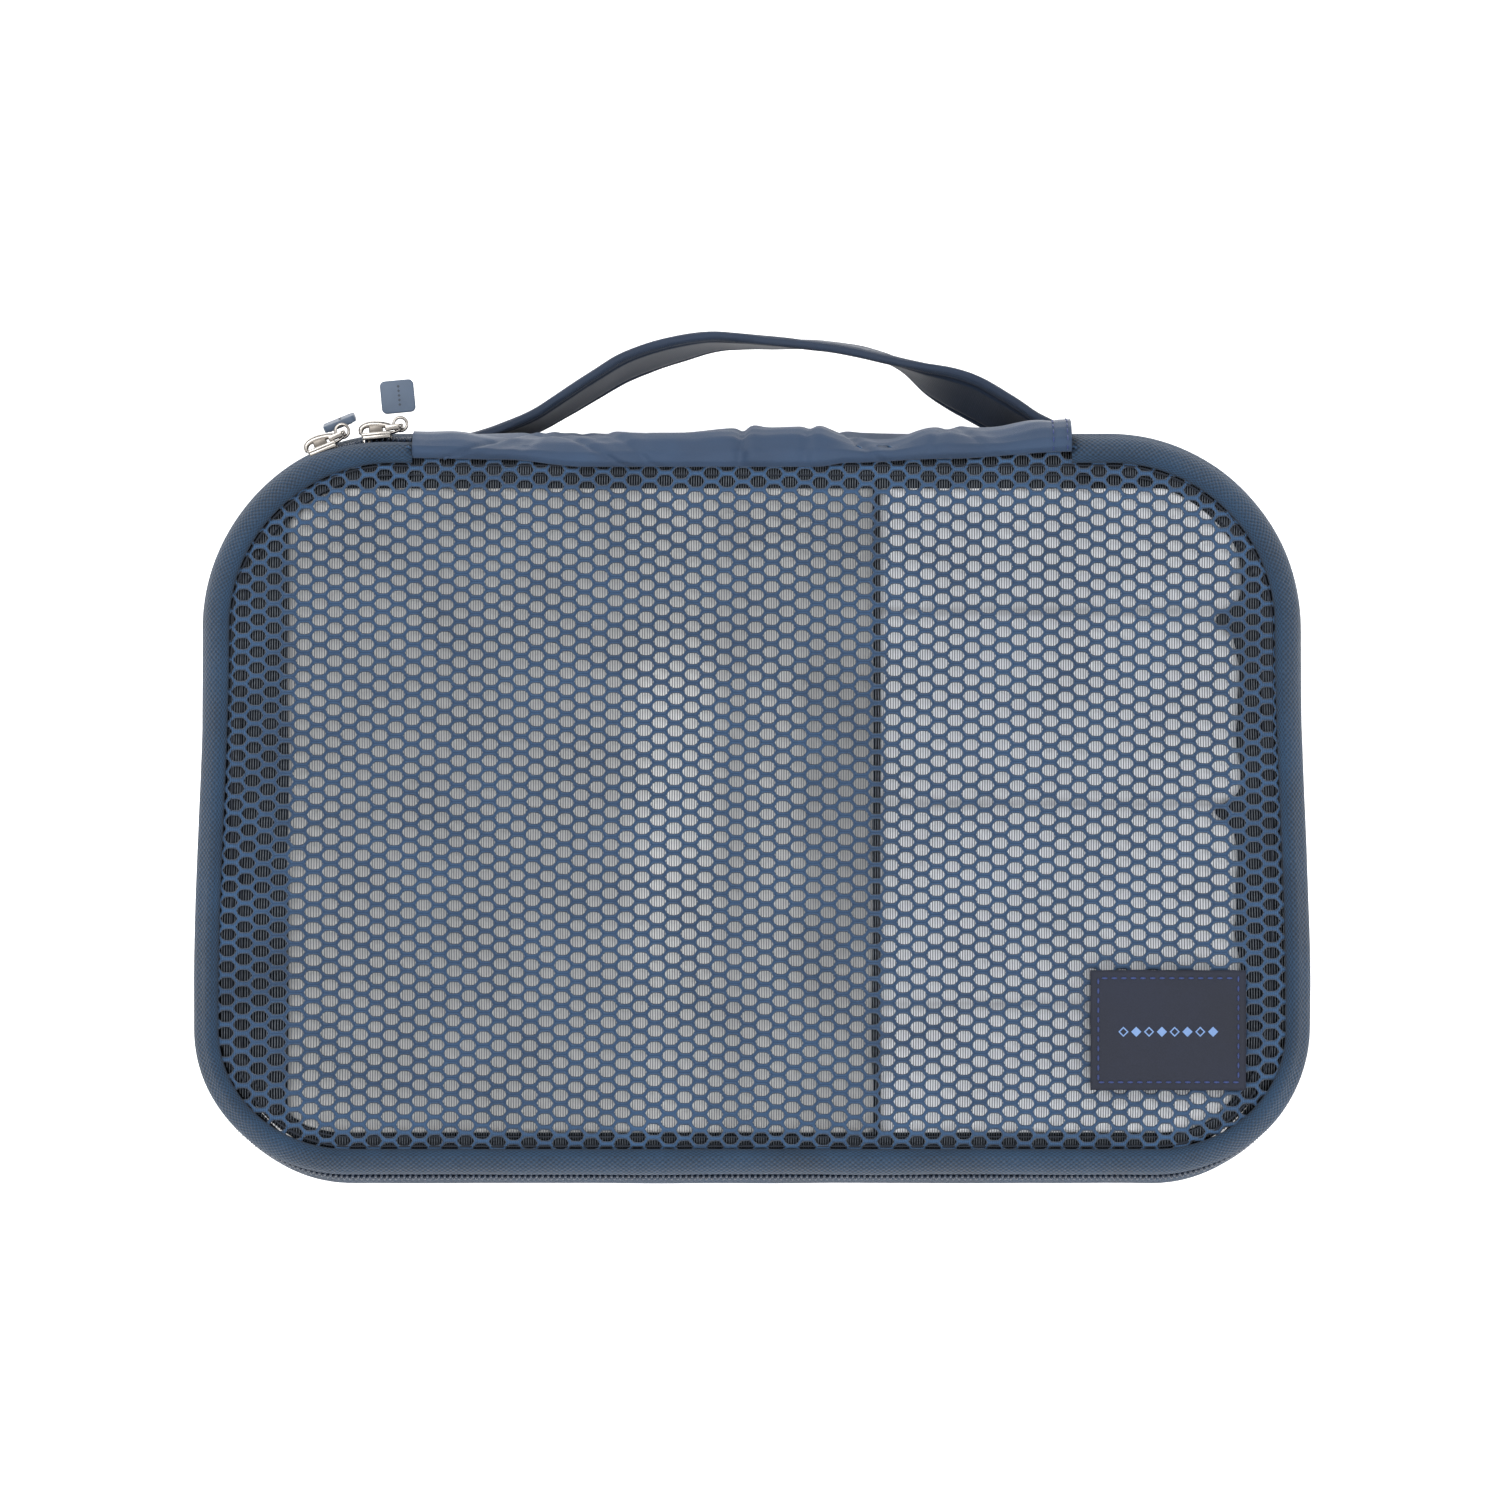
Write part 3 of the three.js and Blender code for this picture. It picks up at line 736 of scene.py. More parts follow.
@dataclass
class CaseShell:
    """The back panel, the gusset wall and the bindings inside."""

    outline: Outline
    finishes: Finishes
    step: float = 3.0 * MM
    wall_swell: float = 0.5 * MM

    def build(self) -> None:
        """Build the shell's pieces."""
        self._gusset()
        self._back_panel()
        self._bindings()

    def _sweep(self, section: Sequence[tuple[float, float]], bow: float, crease: float) -> bmesh.types.BMesh:
        """Sweep a section of insets and levels once round the outline."""
        shape = self.outline
        rows = len(section) - 1
        columns = round(shape.length / self.step)
        width = sum(math.dist(a, b) for a, b in zip(section, section[1:]))

        def place(along: float, across: float) -> Vector:
            index = min(int(across * rows + 1e-6), rows - 1)
            share = across * rows - index
            inset = section[index][0] * (1 - share) + section[index + 1][0] * share
            level = section[index][1] * (1 - share) + section[index + 1][1] * share
            round_it = along * shape.length
            wave = ripple(math.cos(round_it * 7.3) * 0.12 + round_it, level * 3.0, 0.035, 3.0)
            wave *= crease * math.sin(math.pi * across)
            return shape.wall_point(round_it, inset - wave, level, bow * smooth(across))

        mesh = mapped_grid(columns, rows, place, (shape.length, width))
        bmesh.ops.remove_doubles(mesh, verts=mesh.verts[:], dist=0.02 * MM)
        bmesh.ops.recalc_face_normals(mesh, faces=mesh.faces[:])
        return mesh

    def _gusset(self) -> None:
        """Build the wall: a turned bottom edge, a soft belly and a hem over the zip's tape."""
        top = self.outline.gusset_top
        section = [
            (3.6 * MM, 0.5 * MM),
            (2.4 * MM, 0.9 * MM),
            (1.6 * MM, 2.2 * MM),
            (1.2 * MM, 5.0 * MM),
            (0.9 * MM, 9.0 * MM),
            (0.8 * MM, 14.0 * MM),
            (0.8 * MM, 19.0 * MM),
            (0.9 * MM, 24.0 * MM),
            (1.0 * MM, 28.0 * MM),
            (0.9 * MM, top - 2.2 * MM),
            (1.1 * MM, top - 1.7 * MM),
            (0.8 * MM, top - 0.9 * MM),
            (1.0 * MM, top + 0.2 * MM),
        ]
        mesh = self._sweep(section, 0.0, self.wall_swell)
        piece = Piece("gusset_cloth", mesh, self.finishes.case_nylon, "navy_nylon", ("gusset_wall",))
        built = piece.build(thicken(0.8 * MM))
        height = sum(math.dist(a, b) for a, b in zip(section, section[1:]))
        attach(built, CASE)
        count = round(self.outline.length / self.step)
        path = [
            self.outline.wall_point(i * self.outline.length / count, 0.75 * MM, top - 1.7 * MM, 0.0)
            for i in range(count + 1)
        ]
        stitches = beads(stitch_places(path, 2.2 * MM, 1.0 * MM, 0.22 * MM))
        seam = Piece("gusset_stitches", stitches, self.finishes.blue_thread, "label_thread")
        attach(seam.build(), CASE)

    def _back_panel(self) -> None:
        """Build the back panel as a flat cloth with a soft quilted swell and a turned rim."""
        shape = self.outline
        low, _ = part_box("back_panel")

        def place(along: float, across: float) -> Vector:
            edge, out = shape.at(along * shape.length)
            reach = 1.0 - (1.0 - across) ** 1.5
            rim = edge - out * 3.4 * MM
            swell = 0.25 * MM * abs(ripple(rim.x * reach, rim.y * reach, 0.05, 8.0))
            level = low.z + swell + 0.5 * MM * smooth((reach - 0.985) / 0.015)
            return Vector((rim.x * reach, rim.y * reach, level))

        mesh = mapped_grid(220, 26, place, (shape.length, shape.half_width))
        bmesh.ops.remove_doubles(mesh, verts=mesh.verts[:], dist=0.02 * MM)
        bmesh.ops.recalc_face_normals(mesh, faces=mesh.faces[:])
        if sum(face.normal.z * face.calc_area() for face in mesh.faces) > 0:
            bmesh.ops.reverse_faces(mesh, faces=mesh.faces[:])
        uv = mesh.loops.layers.uv.active
        for face in mesh.faces:
            for loop in face.loops:
                loop[uv].uv = (loop.vert.co.x, loop.vert.co.y)
        piece = Piece("back_cloth", mesh, self.finishes.case_nylon, "navy_nylon", ("back_panel",))
        built = piece.build(thicken(0.7 * MM))
        rim = 3.4 * MM
        shape.cut_area(rim)
        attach(built, CASE)

    def _bindings(self) -> None:
        """Build the two bound seams inside: one round the back panel, one under the lid."""
        low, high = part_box("back_seam_binding")
        inset = self.outline.half_length - high.x
        middle = (low.z + high.z) / 2.0
        section = [
            (inset, low.z),
            (inset + 0.9 * MM, low.z + 0.8 * MM),
            (inset + 1.1 * MM, middle),
            (inset + 0.9 * MM, high.z - 0.8 * MM),
            (inset, high.z),
        ]
        mesh = self._sweep(section, 0.0, 0.2 * MM)
        piece = Piece("back_seam_tape", mesh, self.finishes.binding, "seam_binding", ("back_seam_binding",))
        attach(piece.build(thicken(0.4 * MM, 0.0)), CASE)

        low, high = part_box("lid_seam_binding")
        inset = self.outline.half_length - high.x
        section = [
            (inset, high.z),
            (inset + 0.3 * MM, low.z + 0.5 * MM),
            (inset + 1.3 * MM, low.z),
            (inset + 2.3 * MM, low.z + 0.5 * MM),
            (inset + 2.5 * MM, high.z),
        ]
        mesh = self._sweep(section, 0.0, 0.1 * MM)
        piece = Piece("lid_seam_tape", mesh, self.finishes.binding, "seam_binding", ("lid_seam_binding",))
        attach(piece.build(thicken(0.3 * MM, 0.0)), LID)


@dataclass
class Zip:
    """The zip: two knitted tapes and two rows of coil, round three sides of the case."""

    outline: Outline
    finishes: Finishes
    step: float = 2.0 * MM
    tooth_pitch: float = 1.45 * MM

    def __post_init__(self) -> None:
        """Find where the zip starts and ends along the outline."""
        low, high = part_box("hinge_panel")
        self.start = self.outline.station(low.x)
        self.end = self.outline.length + self.outline.station(high.x)

    def build(self) -> None:
        """Build the tapes and the coils."""
        self._tapes()
        self._coils()

    def _band(self, section: Sequence[tuple[float, float, float]]) -> bmesh.types.BMesh:
        """Sweep a section of insets, levels and bow shares along the zip."""
        shape = self.outline
        rows = len(section) - 1
        run = self.end - self.start
        width = self._width(section)

        def place(along: float, across: float) -> Vector:
            index = min(int(across * rows + 1e-6), rows - 1)
            share = across * rows - index
            inset, level, bow = (
                first * (1 - share) + second * share
                for first, second in zip(section[index], section[index + 1])
            )
            round_it = self.start + along * run
            pressed = smooth(1 - along * run / (34 * MM)) * smooth((level - shape.zip_level) / MM)
            inset += 1.3 * MM * pressed * smooth((shape.zip_level + 12 * MM - level) / (5 * MM))
            wave = 0.22 * MM * ripple(round_it, level, 0.022, 5.0) * math.sin(math.pi * across)
            return shape.wall_point(round_it, inset - wave, level + wave, bow)

        mesh = mapped_grid(round(run / self.step), rows, place, (run, width))
        return mesh

    @staticmethod
    def _width(section: Sequence[tuple[float, float, float]]) -> float:
        """Return how wide a tape is, across its section."""
        return sum(math.dist(a[:2], b[:2]) for a, b in zip(section, section[1:]))

    def _tapes(self) -> None:
        """Build the lower and the upper tape."""
        shape = self.outline
        level = shape.zip_level
        inset = shape.zip_inset
        lower = [
            (1.3 * MM, shape.gusset_top - 2.0 * MM, 0.0),
            (0.9 * MM, shape.gusset_top + 1.0 * MM, 0.0),
            (1.0 * MM, shape.gusset_top + 4.0 * MM, 0.25),
            (1.5 * MM, shape.gusset_top + 7.0 * MM, 0.6),
            (2.3 * MM, level - 3.2 * MM, 0.9),
            (2.9 * MM, level - 1.3 * MM, 1.0),
            (3.5 * MM, level - 1.0 * MM, 1.0),
        ]
        mesh = self._band(lower)
        bmesh.ops.reverse_faces(mesh, faces=mesh.faces[:])
        piece = Piece("lower_tape", mesh, self.finishes.tape_knit, "zip_tape", ("lower_zip_tape",))
        built = piece.build(thicken(0.6 * MM, 0.0))
        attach(built, CASE)

        top = shape.lid_level
        seam = shape.seam_inset
        upper = [
            (inset + 0.5 * MM, level + 1.0 * MM, 1.0),
            (inset - 0.1 * MM, level + 1.3 * MM, 1.0),
            (inset - 0.5 * MM, level + 3.2 * MM, 1.0),
            (inset - 0.4 * MM, level + 6.0 * MM, 0.95),
            (inset + 0.4 * MM, level + 8.6 * MM, 0.85),
            (inset + 1.6 * MM, level + 10.8 * MM, 0.75),
            (inset + 3.0 * MM, level + 12.4 * MM, 0.95),
            (seam - 1.0 * MM, top - 0.5 * MM, 1.0),
            (seam - 0.2 * MM, top - 0.4 * MM, 1.0),
            (seam + 0.3 * MM, top - 0.9 * MM, 1.0),
            (seam + 0.4 * MM, top - 2.4 * MM, 1.0),
        ]
        mesh = self._band(upper)
        bmesh.ops.reverse_faces(mesh, faces=mesh.faces[:])
        nodes = ("upper_zip_tape", "left_end_zip_tape", "right_end_zip_tape")
        piece = Piece("upper_tape", mesh, self.finishes.tape_knit, "zip_tape", nodes)
        built = piece.build(thicken(0.6 * MM, 0.0))
        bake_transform(built, CASE, LID, FOLD_START, FOLD_END)

    def _coils(self) -> None:
        """Build the coil from small loops that reach over the zip line by turns, its ends apart."""
        shape = self.outline
        run = self.end - self.start
        count = int(run / self.tooth_pitch)
        split = (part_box("upper_zip_coil")[1].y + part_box("left_end_zip_coil")[0].y) / 2
        ends = ("left_end_zip_coil", "right_end_zip_coil")
        rows = (
            ("lower_coil", -1.0, 0.0, False, ("lower_zip_coil",), CASE),
            ("upper_coil", 1.0, 0.5, False, ("upper_zip_coil",), LID),
            ("end_coils", 1.0, 0.5, True, ends, CASE),
        )
        for name, side, offset, at_ends, nodes, body in rows:
            places = []
            for index in range(count):
                along = self.start + (index + 0.25 + offset) * self.tooth_pitch
                point = shape.wall_point(along, shape.zip_inset - 0.1 * MM, shape.zip_level + side * 0.8 * MM)
                if side > 0 and (point.y > split) != at_ends:
                    continue
                outward = shape.at(along)[1]
                turn = Matrix.Rotation(math.atan2(outward.y, outward.x), 4, "Z")
                scale = Matrix.Diagonal((0.95 * MM, 0.42 * MM, 1.25 * MM, 1.0))
                places.append(Matrix.Translation(point) @ turn @ scale)
            mesh = beads(places)
            piece = Piece(name, mesh, self.finishes.coil_nylon, "zip_coil", nodes)
            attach(piece.build(), body)


@dataclass
class HingePanel:
    """The smooth nylon between the zip's ends, wrinkled where it folds over the lid's edge.

    Attributes:
        outline: The case's outline.
        finishes: The materials.
        top_line: How far out the cloth bulges, by place along it, both in millimetres.
        lower_line: Where its lower edge lies on the mesh.
        creases: Each soft fold's place, depth and slant.
    """

    outline: Outline
    finishes: Finishes
    top_line: tuple[tuple[float, float], ...] = (
        (-85.0, 94.2), (-76.0, 94.2), (-64.0, 92.9), (-40.0, 92.9), (-31.0, 93.6), (-16.0, 93.5),
        (-4.0, 95.0), (16.0, 95.1), (28.0, 92.6), (34.0, 92.8), (46.0, 95.3), (60.0, 95.0), (74.0, 96.9),
        (80.0, 96.9),
    )
    lower_line: tuple[tuple[float, float], ...] = (
        (-86.0, 87.0), (-62.0, 86.6), (-42.0, 84.8), (16.0, 84.8), (24.0, 85.8), (48.0, 86.8), (80.0, 88.6),
    )
    creases: tuple[tuple[float, float, float], ...] = (
        (-74.0, 1.0, 0.9), (-60.0, 0.3, 0.5), (-34.0, 0.8, -0.9), (-26.0, 0.6, -0.7), (-3.0, 1.1, 0.05),
        (13.0, 0.7, 0.1), (31.0, 0.8, -0.4), (44.0, 0.5, 0.3), (60.0, 0.4, -0.6),
    )

    def build(self) -> None:
        """Build the cloth and the stitches at its folded end."""
        low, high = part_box("hinge_panel")
        self.low_x, self.high_x = low.x, high.x
        self.foot, self.crest = low.z, high.z
        run = self.high_x - self.low_x
        mesh = mapped_grid(220, 36, self._place, (run, 34.0 * MM))
        bmesh.ops.reverse_faces(mesh, faces=mesh.faces[:])
        piece = Piece("hinge_cloth", mesh, self.finishes.hinge_nylon, "blue_nylon", ("hinge_panel",))
        built = piece.build(thicken(0.5 * MM, -1.0))
        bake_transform(built, CASE, LID, FOLD_START, FOLD_END)

        places = []
        for setback in (4.6 * MM, 1.1 * MM):
            share = 1.0 - setback / run
            path = [self._place(share, 0.25 + 0.7 * i / 40) + Vector((0, 0.1, 0.25)) * MM for i in range(41)]
            places += stitch_places(path, 1.7 * MM, 0.8 * MM, 0.2 * MM)
        seam = Piece("hinge_stitches", beads(places), self.finishes.blue_thread, "label_thread")
        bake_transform(seam.build(), CASE, LID, FOLD_START, FOLD_END)

    def _place(self, along: float, across: float) -> Vector:
        """Return the cloth's point: up the wall, over its shoulder and down onto the mesh."""
        x = self.low_x + along * (self.high_x - self.low_x)
        wall = self.outline.half_width - 0.9 * MM
        slow = ripple(x, 0.0, 0.060, 7.7)
        bulge = curve_value(self.top_line, x / MM) * MM
        hem_y = curve_value(self.lower_line, x / MM) * MM
        section = [
            (wall, self.foot - 1.0 * MM),
            (wall + 0.2 * MM, self.foot + 6.0 * MM),
            (bulge - 0.5 * MM, self.foot + 12.0 * MM),
            (bulge, self.foot + 17.0 * MM),
            (bulge - 0.8 * MM, self.crest - 4.4 * MM),
            (bulge - 2.4 * MM, self.crest - 1.4 * MM),
            (bulge * 0.4 + hem_y * 0.6, self.crest + 0.9 * MM),
            (hem_y + 1.2 * MM, self.crest + 0.7 * MM + 0.4 * MM * slow),
            (hem_y, self.crest - 0.5 * MM),
            (hem_y + 0.8 * MM, self.crest - 1.9 * MM),
        ]
        rows = len(section) - 1
        index = min(int(across * rows + 1e-6), rows - 1)
        share = smooth(across * rows - index) * 0.35 + (across * rows - index) * 0.65
        y = section[index][0] * (1 - share) + section[index + 1][0] * share
        z = section[index][1] * (1 - share) + section[index + 1][1] * share
        ends = smooth(min(along, 1 - along) / 0.04)
        down = (1 - across) * 0.036
        fold = 0.9 * MM * ripple(x + 0.7 * down, down, 0.013, 2.1)
        fold += 0.8 * MM * ripple(x - 1.1 * down, down * 0.4, 0.021, 9.4)
        for place, depth, slant in self.creases:
            away = x - place * MM - slant * (down - 0.008)
            fold -= depth * MM * math.exp(-((away / (1.3 * MM)) ** 2))
            fold += 0.6 * depth * MM * math.exp(-(((away - 2.8 * MM) / (2.2 * MM)) ** 2))
        fold *= ends * math.sin(math.pi * min(across * 1.02, 1.0)) ** 0.7
        hem = 0.35 * MM * smooth((x - self.high_x + 4.2 * MM) / (0.8 * MM))
        lift = smooth((across - 0.5) / 0.2)
        return Vector((x, y + (fold + hem) * (1 - lift), z + (fold + hem) * lift))


# ---- The lid ----


@dataclass
class MeshLid:
    """The lid's outer net, its ribbed lining and the woven label."""

    outline: Outline
    finishes: Finishes
    column_pitch: float = 3.885 * MM
    row_pitch: float = 4.06 * MM
    hole_length: float = 4.2 * MM
    hole_width: float = 2.65 * MM
    yarn_crown: float = 0.42 * MM
    tilt: float = math.radians(-1.0)
    rib_pitch: float = 0.62 * MM
    rib_width: float = 0.2 * MM
    covered: tuple[float, float] = field(init=False)

    def __post_init__(self) -> None:
        """Find the stretch of the edge that the hinge cloth covers."""
        low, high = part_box("hinge_panel")
        self.covered = (low.x, high.x)

    def build(self) -> None:
        """Build the net, the lining and the label."""
        self._net()
        self._lining()
        self._label()

    def level(self, x: float, y: float) -> float:
        """Return the net's height: full over the middle, and falling into the seam."""
        inset, _ = self.outline.inset_at(x, y)
        into_seam = smooth((inset - self.outline.seam_inset) / (10.0 * MM))
        sag = 0.35 * MM * ripple(x, y, 0.045, 4.2)
        across = 1 - (y / self.outline.half_width) ** 2
        crown = 0.8 * MM * (1 - (x / self.outline.half_length) ** 2) * across
        return self.outline.lid_level - 0.9 * MM - 1.5 * MM * (1 - into_seam) + (sag + crown) * into_seam

    def _limit(self, x: float, y: float) -> float:
        """Return how near the outline the net reaches: nearer where the hinge cloth covers it."""
        low, high = self.covered
        under = smooth((x - low + 5 * MM) / (4 * MM)) * smooth((high + 5 * MM - x) / (4 * MM))
        return self.outline.seam_inset - 0.3 * MM - (3.4 * MM * under if y > 0 else 0.0)

    def _cell(self) -> bmesh.types.BMesh:
        """Shape one cell: an upright hexagon of yarn with a long round hole."""
        half_a, half_b = self.column_pitch, self.row_pitch / 2.0
        side = (half_a**2 - half_b**2) / (2.0 * half_a)
        point = (half_a**2 + half_b**2) / (2.0 * half_a)
        corners = [(point, 0), (side, half_b), (-side, half_b)]
        corners += [(-x, -y) for x, y in corners]
        rim = []
        for (x0, y0), (x1, y1) in zip(corners, corners[1:] + corners[:1]):
            rim += [Vector((x0, y0, 0)), Vector(((x0 + x1) / 2, (y0 + y1) / 2, 0))]
        cell = bmesh.new()
        bmesh.ops.create_circle(cell, cap_ends=True, segments=len(rim), radius=1.0)
        cell.verts.ensure_lookup_table()
        order = sorted(cell.verts, key=lambda vert: math.atan2(vert.co.y, vert.co.x) % (2 * math.pi))
        for vert, place in zip(order, rim):
            vert.co = place
        bmesh.ops.inset_region(
            cell, faces=cell.faces[:], thickness=0.4 * MM, use_even_offset=False, use_boundary=True
        )
        centre = min(cell.faces, key=lambda face: face.calc_center_median().length * 10 - face.calc_area())
        for vert in centre.verts:
            angle = math.atan2(vert.co.y * self.hole_length / self.hole_width, vert.co.x)
            oval = Vector((math.cos(angle) * self.hole_length / 2, math.sin(angle) * self.hole_width / 2, 0))
            nearest = min(rim, key=lambda place: (place.normalized() - vert.co.normalized()).length)
            vert.co = oval.lerp(nearest * 0.74, 0.3)
        ridge = cell.verts.layers.float.new("ridge")
        for vert in cell.verts:
            vert[ridge] = 0.0 if vert in centre.verts else 1.0
        bmesh.ops.delete(cell, geom=[centre], context="FACES_ONLY")
        return cell

    def _net(self) -> None:
        """Repeat the cell over the lid, crown its yarns and trim it at the seam."""
        shape = self.outline
        mesh = self._cell()
        covered = sum(face.calc_area() for face in mesh.faces) / (self.column_pitch * self.row_pitch)
        rows = 2 * math.ceil(shape.half_width / self.row_pitch) + 4
        pairs = 2 * math.ceil(shape.half_length / (2 * self.column_pitch)) + 2
        base = mesh.verts[:] + mesh.edges[:] + mesh.faces[:]
        twin = bmesh.ops.duplicate(mesh, geom=base)["geom"]
        step = (self.column_pitch, self.row_pitch / 2, 0)
        twin_verts = [item for item in twin if isinstance(item, bmesh.types.BMVert)]
        bmesh.ops.translate(mesh, verts=twin_verts, vec=step)
        self._repeat(mesh, rows, Vector((0, self.row_pitch, 0)))
        self._repeat(mesh, pairs, Vector((2 * self.column_pitch, 0, 0)))
        bmesh.ops.translate(
            mesh,
            verts=mesh.verts[:],
            vec=(-pairs * self.column_pitch, -rows * self.row_pitch / 2, 0),
        )
        bmesh.ops.rotate(mesh, verts=mesh.verts[:], matrix=Matrix.Rotation(self.tilt, 3, "Z"))
        outside = []
        for face in mesh.faces:
            middle = face.calc_center_median().xy
            if shape.inset_at(*middle)[0] < self._limit(*middle) - 1.0 * MM:
                outside.append(face)
        bmesh.ops.delete(mesh, geom=outside, context="FACES")
        bmesh.ops.remove_doubles(mesh, verts=mesh.verts[:], dist=0.05 * MM)
        bmesh.ops.solidify(mesh, geom=mesh.verts[:] + mesh.edges[:] + mesh.faces[:], thickness=0.2 * MM)
        middle_z = sum(vert.co.z for vert in mesh.verts) / len(mesh.verts)
        ridge = mesh.verts.layers.float["ridge"]
        for vert in mesh.verts:
            crown = self.yarn_crown if vert.co.z > middle_z else -0.6 * self.yarn_crown
            vert.co.z = crown * vert[ridge]
        bmesh.ops.remove_doubles(mesh, verts=mesh.verts[:], dist=0.02 * MM)
        bmesh.ops.recalc_face_normals(mesh, faces=mesh.faces[:])
        # Painted highlight weights for the net's colour: strand middles near 0.95 and hole edges near 0.12
        # give painted shade, the values between them painted highlights, and the net is painted lighter
        # towards the seam, over 16 mm.
        for vert in mesh.verts:
            inset = shape.inset_at(vert.co.x, vert.co.y)[0]
            border = 1 - smooth((inset - shape.seam_inset) / (16 * MM))
            vert[ridge] = 0.95 - 0.3 * border if vert[ridge] > 0.5 else 0.12 + 0.15 * border
        for vert in mesh.verts:
            x, y = vert.co.x, vert.co.y
            x += 0.5 * MM * ripple(x, y, 0.030, 6.1)
            y += 0.5 * MM * ripple(x, y, 0.030, 9.9)
            inset, outward = shape.inset_at(x, y)
            limit = self._limit(x, y)
            if inset < limit:
                x -= outward.x * (limit - inset)
                y -= outward.y * (limit - inset)
            bow = shape.bow(Vector((x, y, 0)), outward) * smooth(1 - (inset - limit) / (30 * MM))
            vert.co = (x + outward.x * bow, y + outward.y * bow, self.level(x, y) + vert.co.z)
        piece = Piece("mesh_net", mesh, self.finishes.net_yarn, "mesh_knit", ("mesh_face",))
        built = piece.build()
        covered * shape.cut_area(shape.seam_inset - 0.3 * MM)
        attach(built, LID)

    @staticmethod
    def _repeat(mesh: bmesh.types.BMesh, count: int, step: Vector) -> None:
        """Repeat everything in a mesh in a row, a step apart."""
        base = mesh.verts[:] + mesh.edges[:] + mesh.faces[:]
        for index in range(1, count):
            copy = bmesh.ops.duplicate(mesh, geom=base)["geom"]
            verts = [item for item in copy if isinstance(item, bmesh.types.BMVert)]
            bmesh.ops.translate(mesh, verts=verts, vec=step * index)

    def _lining(self) -> None:
        """Build the inner layer of fine upright ribs."""
        shape = self.outline
        limit = shape.seam_inset + 0.8 * MM
        first = limit - shape.half_length
        count = round(-2 * first / self.rib_pitch)
        mesh = bmesh.new()
        bmesh.ops.create_grid(mesh, x_segments=2 * count - 1, y_segments=16, size=0.5)
        gaps = [face for face in mesh.faces if int((face.calc_center_median().x + 0.5) * (2 * count - 1)) % 2]
        bmesh.ops.delete(mesh, geom=gaps, context="FACES")
        for vert in mesh.verts:
            column = round((vert.co.x + 0.5) * (2 * count - 1))
            rib, side = divmod(column, 2)
            x = first + (rib + 0.5) * self.rib_pitch + (side - 0.5) * self.rib_width
            reach = self._reach(x, limit)
            if self.covered[0] < x < self.covered[1]:
                reach = (reach[0], reach[1] + 3.4 * MM)
            y = reach[0] + (vert.co.y + 0.5) * (reach[1] - reach[0])
            x += 0.45 * MM * ripple(x * 0.2, y, 0.035, 2.7)
            inset, outward = shape.inset_at(x, y)
            sideways = Vector((math.copysign(1, x), 0, 0))
            reach_out = abs(outward.x) * smooth(1 - (inset - limit) / (30 * MM))
            x += sideways.x * shape.bow(Vector((x, y, 0)), sideways) * reach_out
            vert.co = (x, y, self.level(x, y) - 1.0 * MM)
        piece = Piece("mesh_ribs", mesh, self.finishes.rib_yarn, "mesh_lining", ("mesh_backing",))
        built = piece.build(thicken(0.06 * MM, 0.0))
        covered = self.rib_width / self.rib_pitch
        covered * shape.cut_area(limit)
        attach(built, LID)

    def _reach(self, x: float, inset: float) -> tuple[float, float]:
        """Return how far down and up the lid reaches at a place along it."""
        shape = self.outline
        ends = []
        for radius, side in ((shape.bottom_corner, -1.0), (shape.top_corner, 1.0)):
            past = max(0.0, abs(x) - (shape.half_length - radius))
            drop = (radius - inset) - math.sqrt(max(0.0, (radius - inset) ** 2 - past**2))
            ends.append(side * (shape.half_width - inset - drop))
        return ends[0], ends[1]

    def _label(self) -> None:
        """Build the woven label, its stitches and its row of plain diamonds."""
        low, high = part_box("label_patch")
        middle = (low + high) / 2.0
        size = high - low
        base = self.level(middle.x, middle.y) + self.yarn_crown

        def lie(x: float, y: float) -> float:
            """Return the label's height where it follows the net."""
            curl = 0.35 * MM * (abs((x - middle.x) / size.x) * 2) ** 4
            return base + 0.15 * MM + curl + 0.1 * MM * ripple(x, y, 0.012, 3.3)

        mesh = bmesh.new()
        bmesh.ops.create_grid(mesh, x_segments=40, y_segments=30, size=0.5)
        bmesh.ops.scale(mesh, verts=mesh.verts[:], vec=(size.x, size.y, 1))
        bmesh.ops.translate(mesh, verts=mesh.verts[:], vec=(middle.x, middle.y, 0))
        for vert in mesh.verts:
            x, y = vert.co.x, vert.co.y
            fray = 0.12 * MM * ripple(x, y, 0.003, 5.5)
            edge = max(abs(x - middle.x) / size.x, abs(y - middle.y) / size.y) * 2
            inner = 2.0 * MM
            gap_x = abs(abs(x - middle.x) - (size.x / 2 - inner))
            gap_y = abs(abs(y - middle.y) - (size.y / 2 - inner))
            pinch = 0.18 * MM * (1 - smooth(min(gap_x, gap_y) / (1.2 * MM)))
            shift = fray if edge > 0.99 else 0.0
            vert.co = (x + shift, y + shift, lie(x, y) - pinch)
        piece = Piece("label_cloth", mesh, self.finishes.label_cloth, "label_cloth", ("label_patch",))
        built = piece.build(thicken(0.7 * MM, 1.0))
        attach(built, LID)

        lift = 0.7 * MM
        half_x, half_y = size.x / 2 - 2.0 * MM, size.y / 2 - 2.0 * MM
        corners = [(-half_x, -half_y), (half_x, -half_y), (half_x, half_y), (-half_x, half_y)]
        corners.append(corners[0])
        path = []
        for (x0, y0), (x1, y1) in zip(corners, corners[1:]):
            for i in range(40):
                x = middle.x + x0 + (x1 - x0) * i / 40
                y = middle.y + y0 + (y1 - y0) * i / 40
                path.append(Vector((x, y, lie(x, y) + lift)))
        stitches = beads(stitch_places(path, 1.6 * MM, 0.8 * MM, 0.28 * MM))
        thread = self.finishes.blue_thread
        seam = Piece("label_stitches", stitches, thread, "label_thread", ("label_stitching",))
        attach(seam.build(), LID)

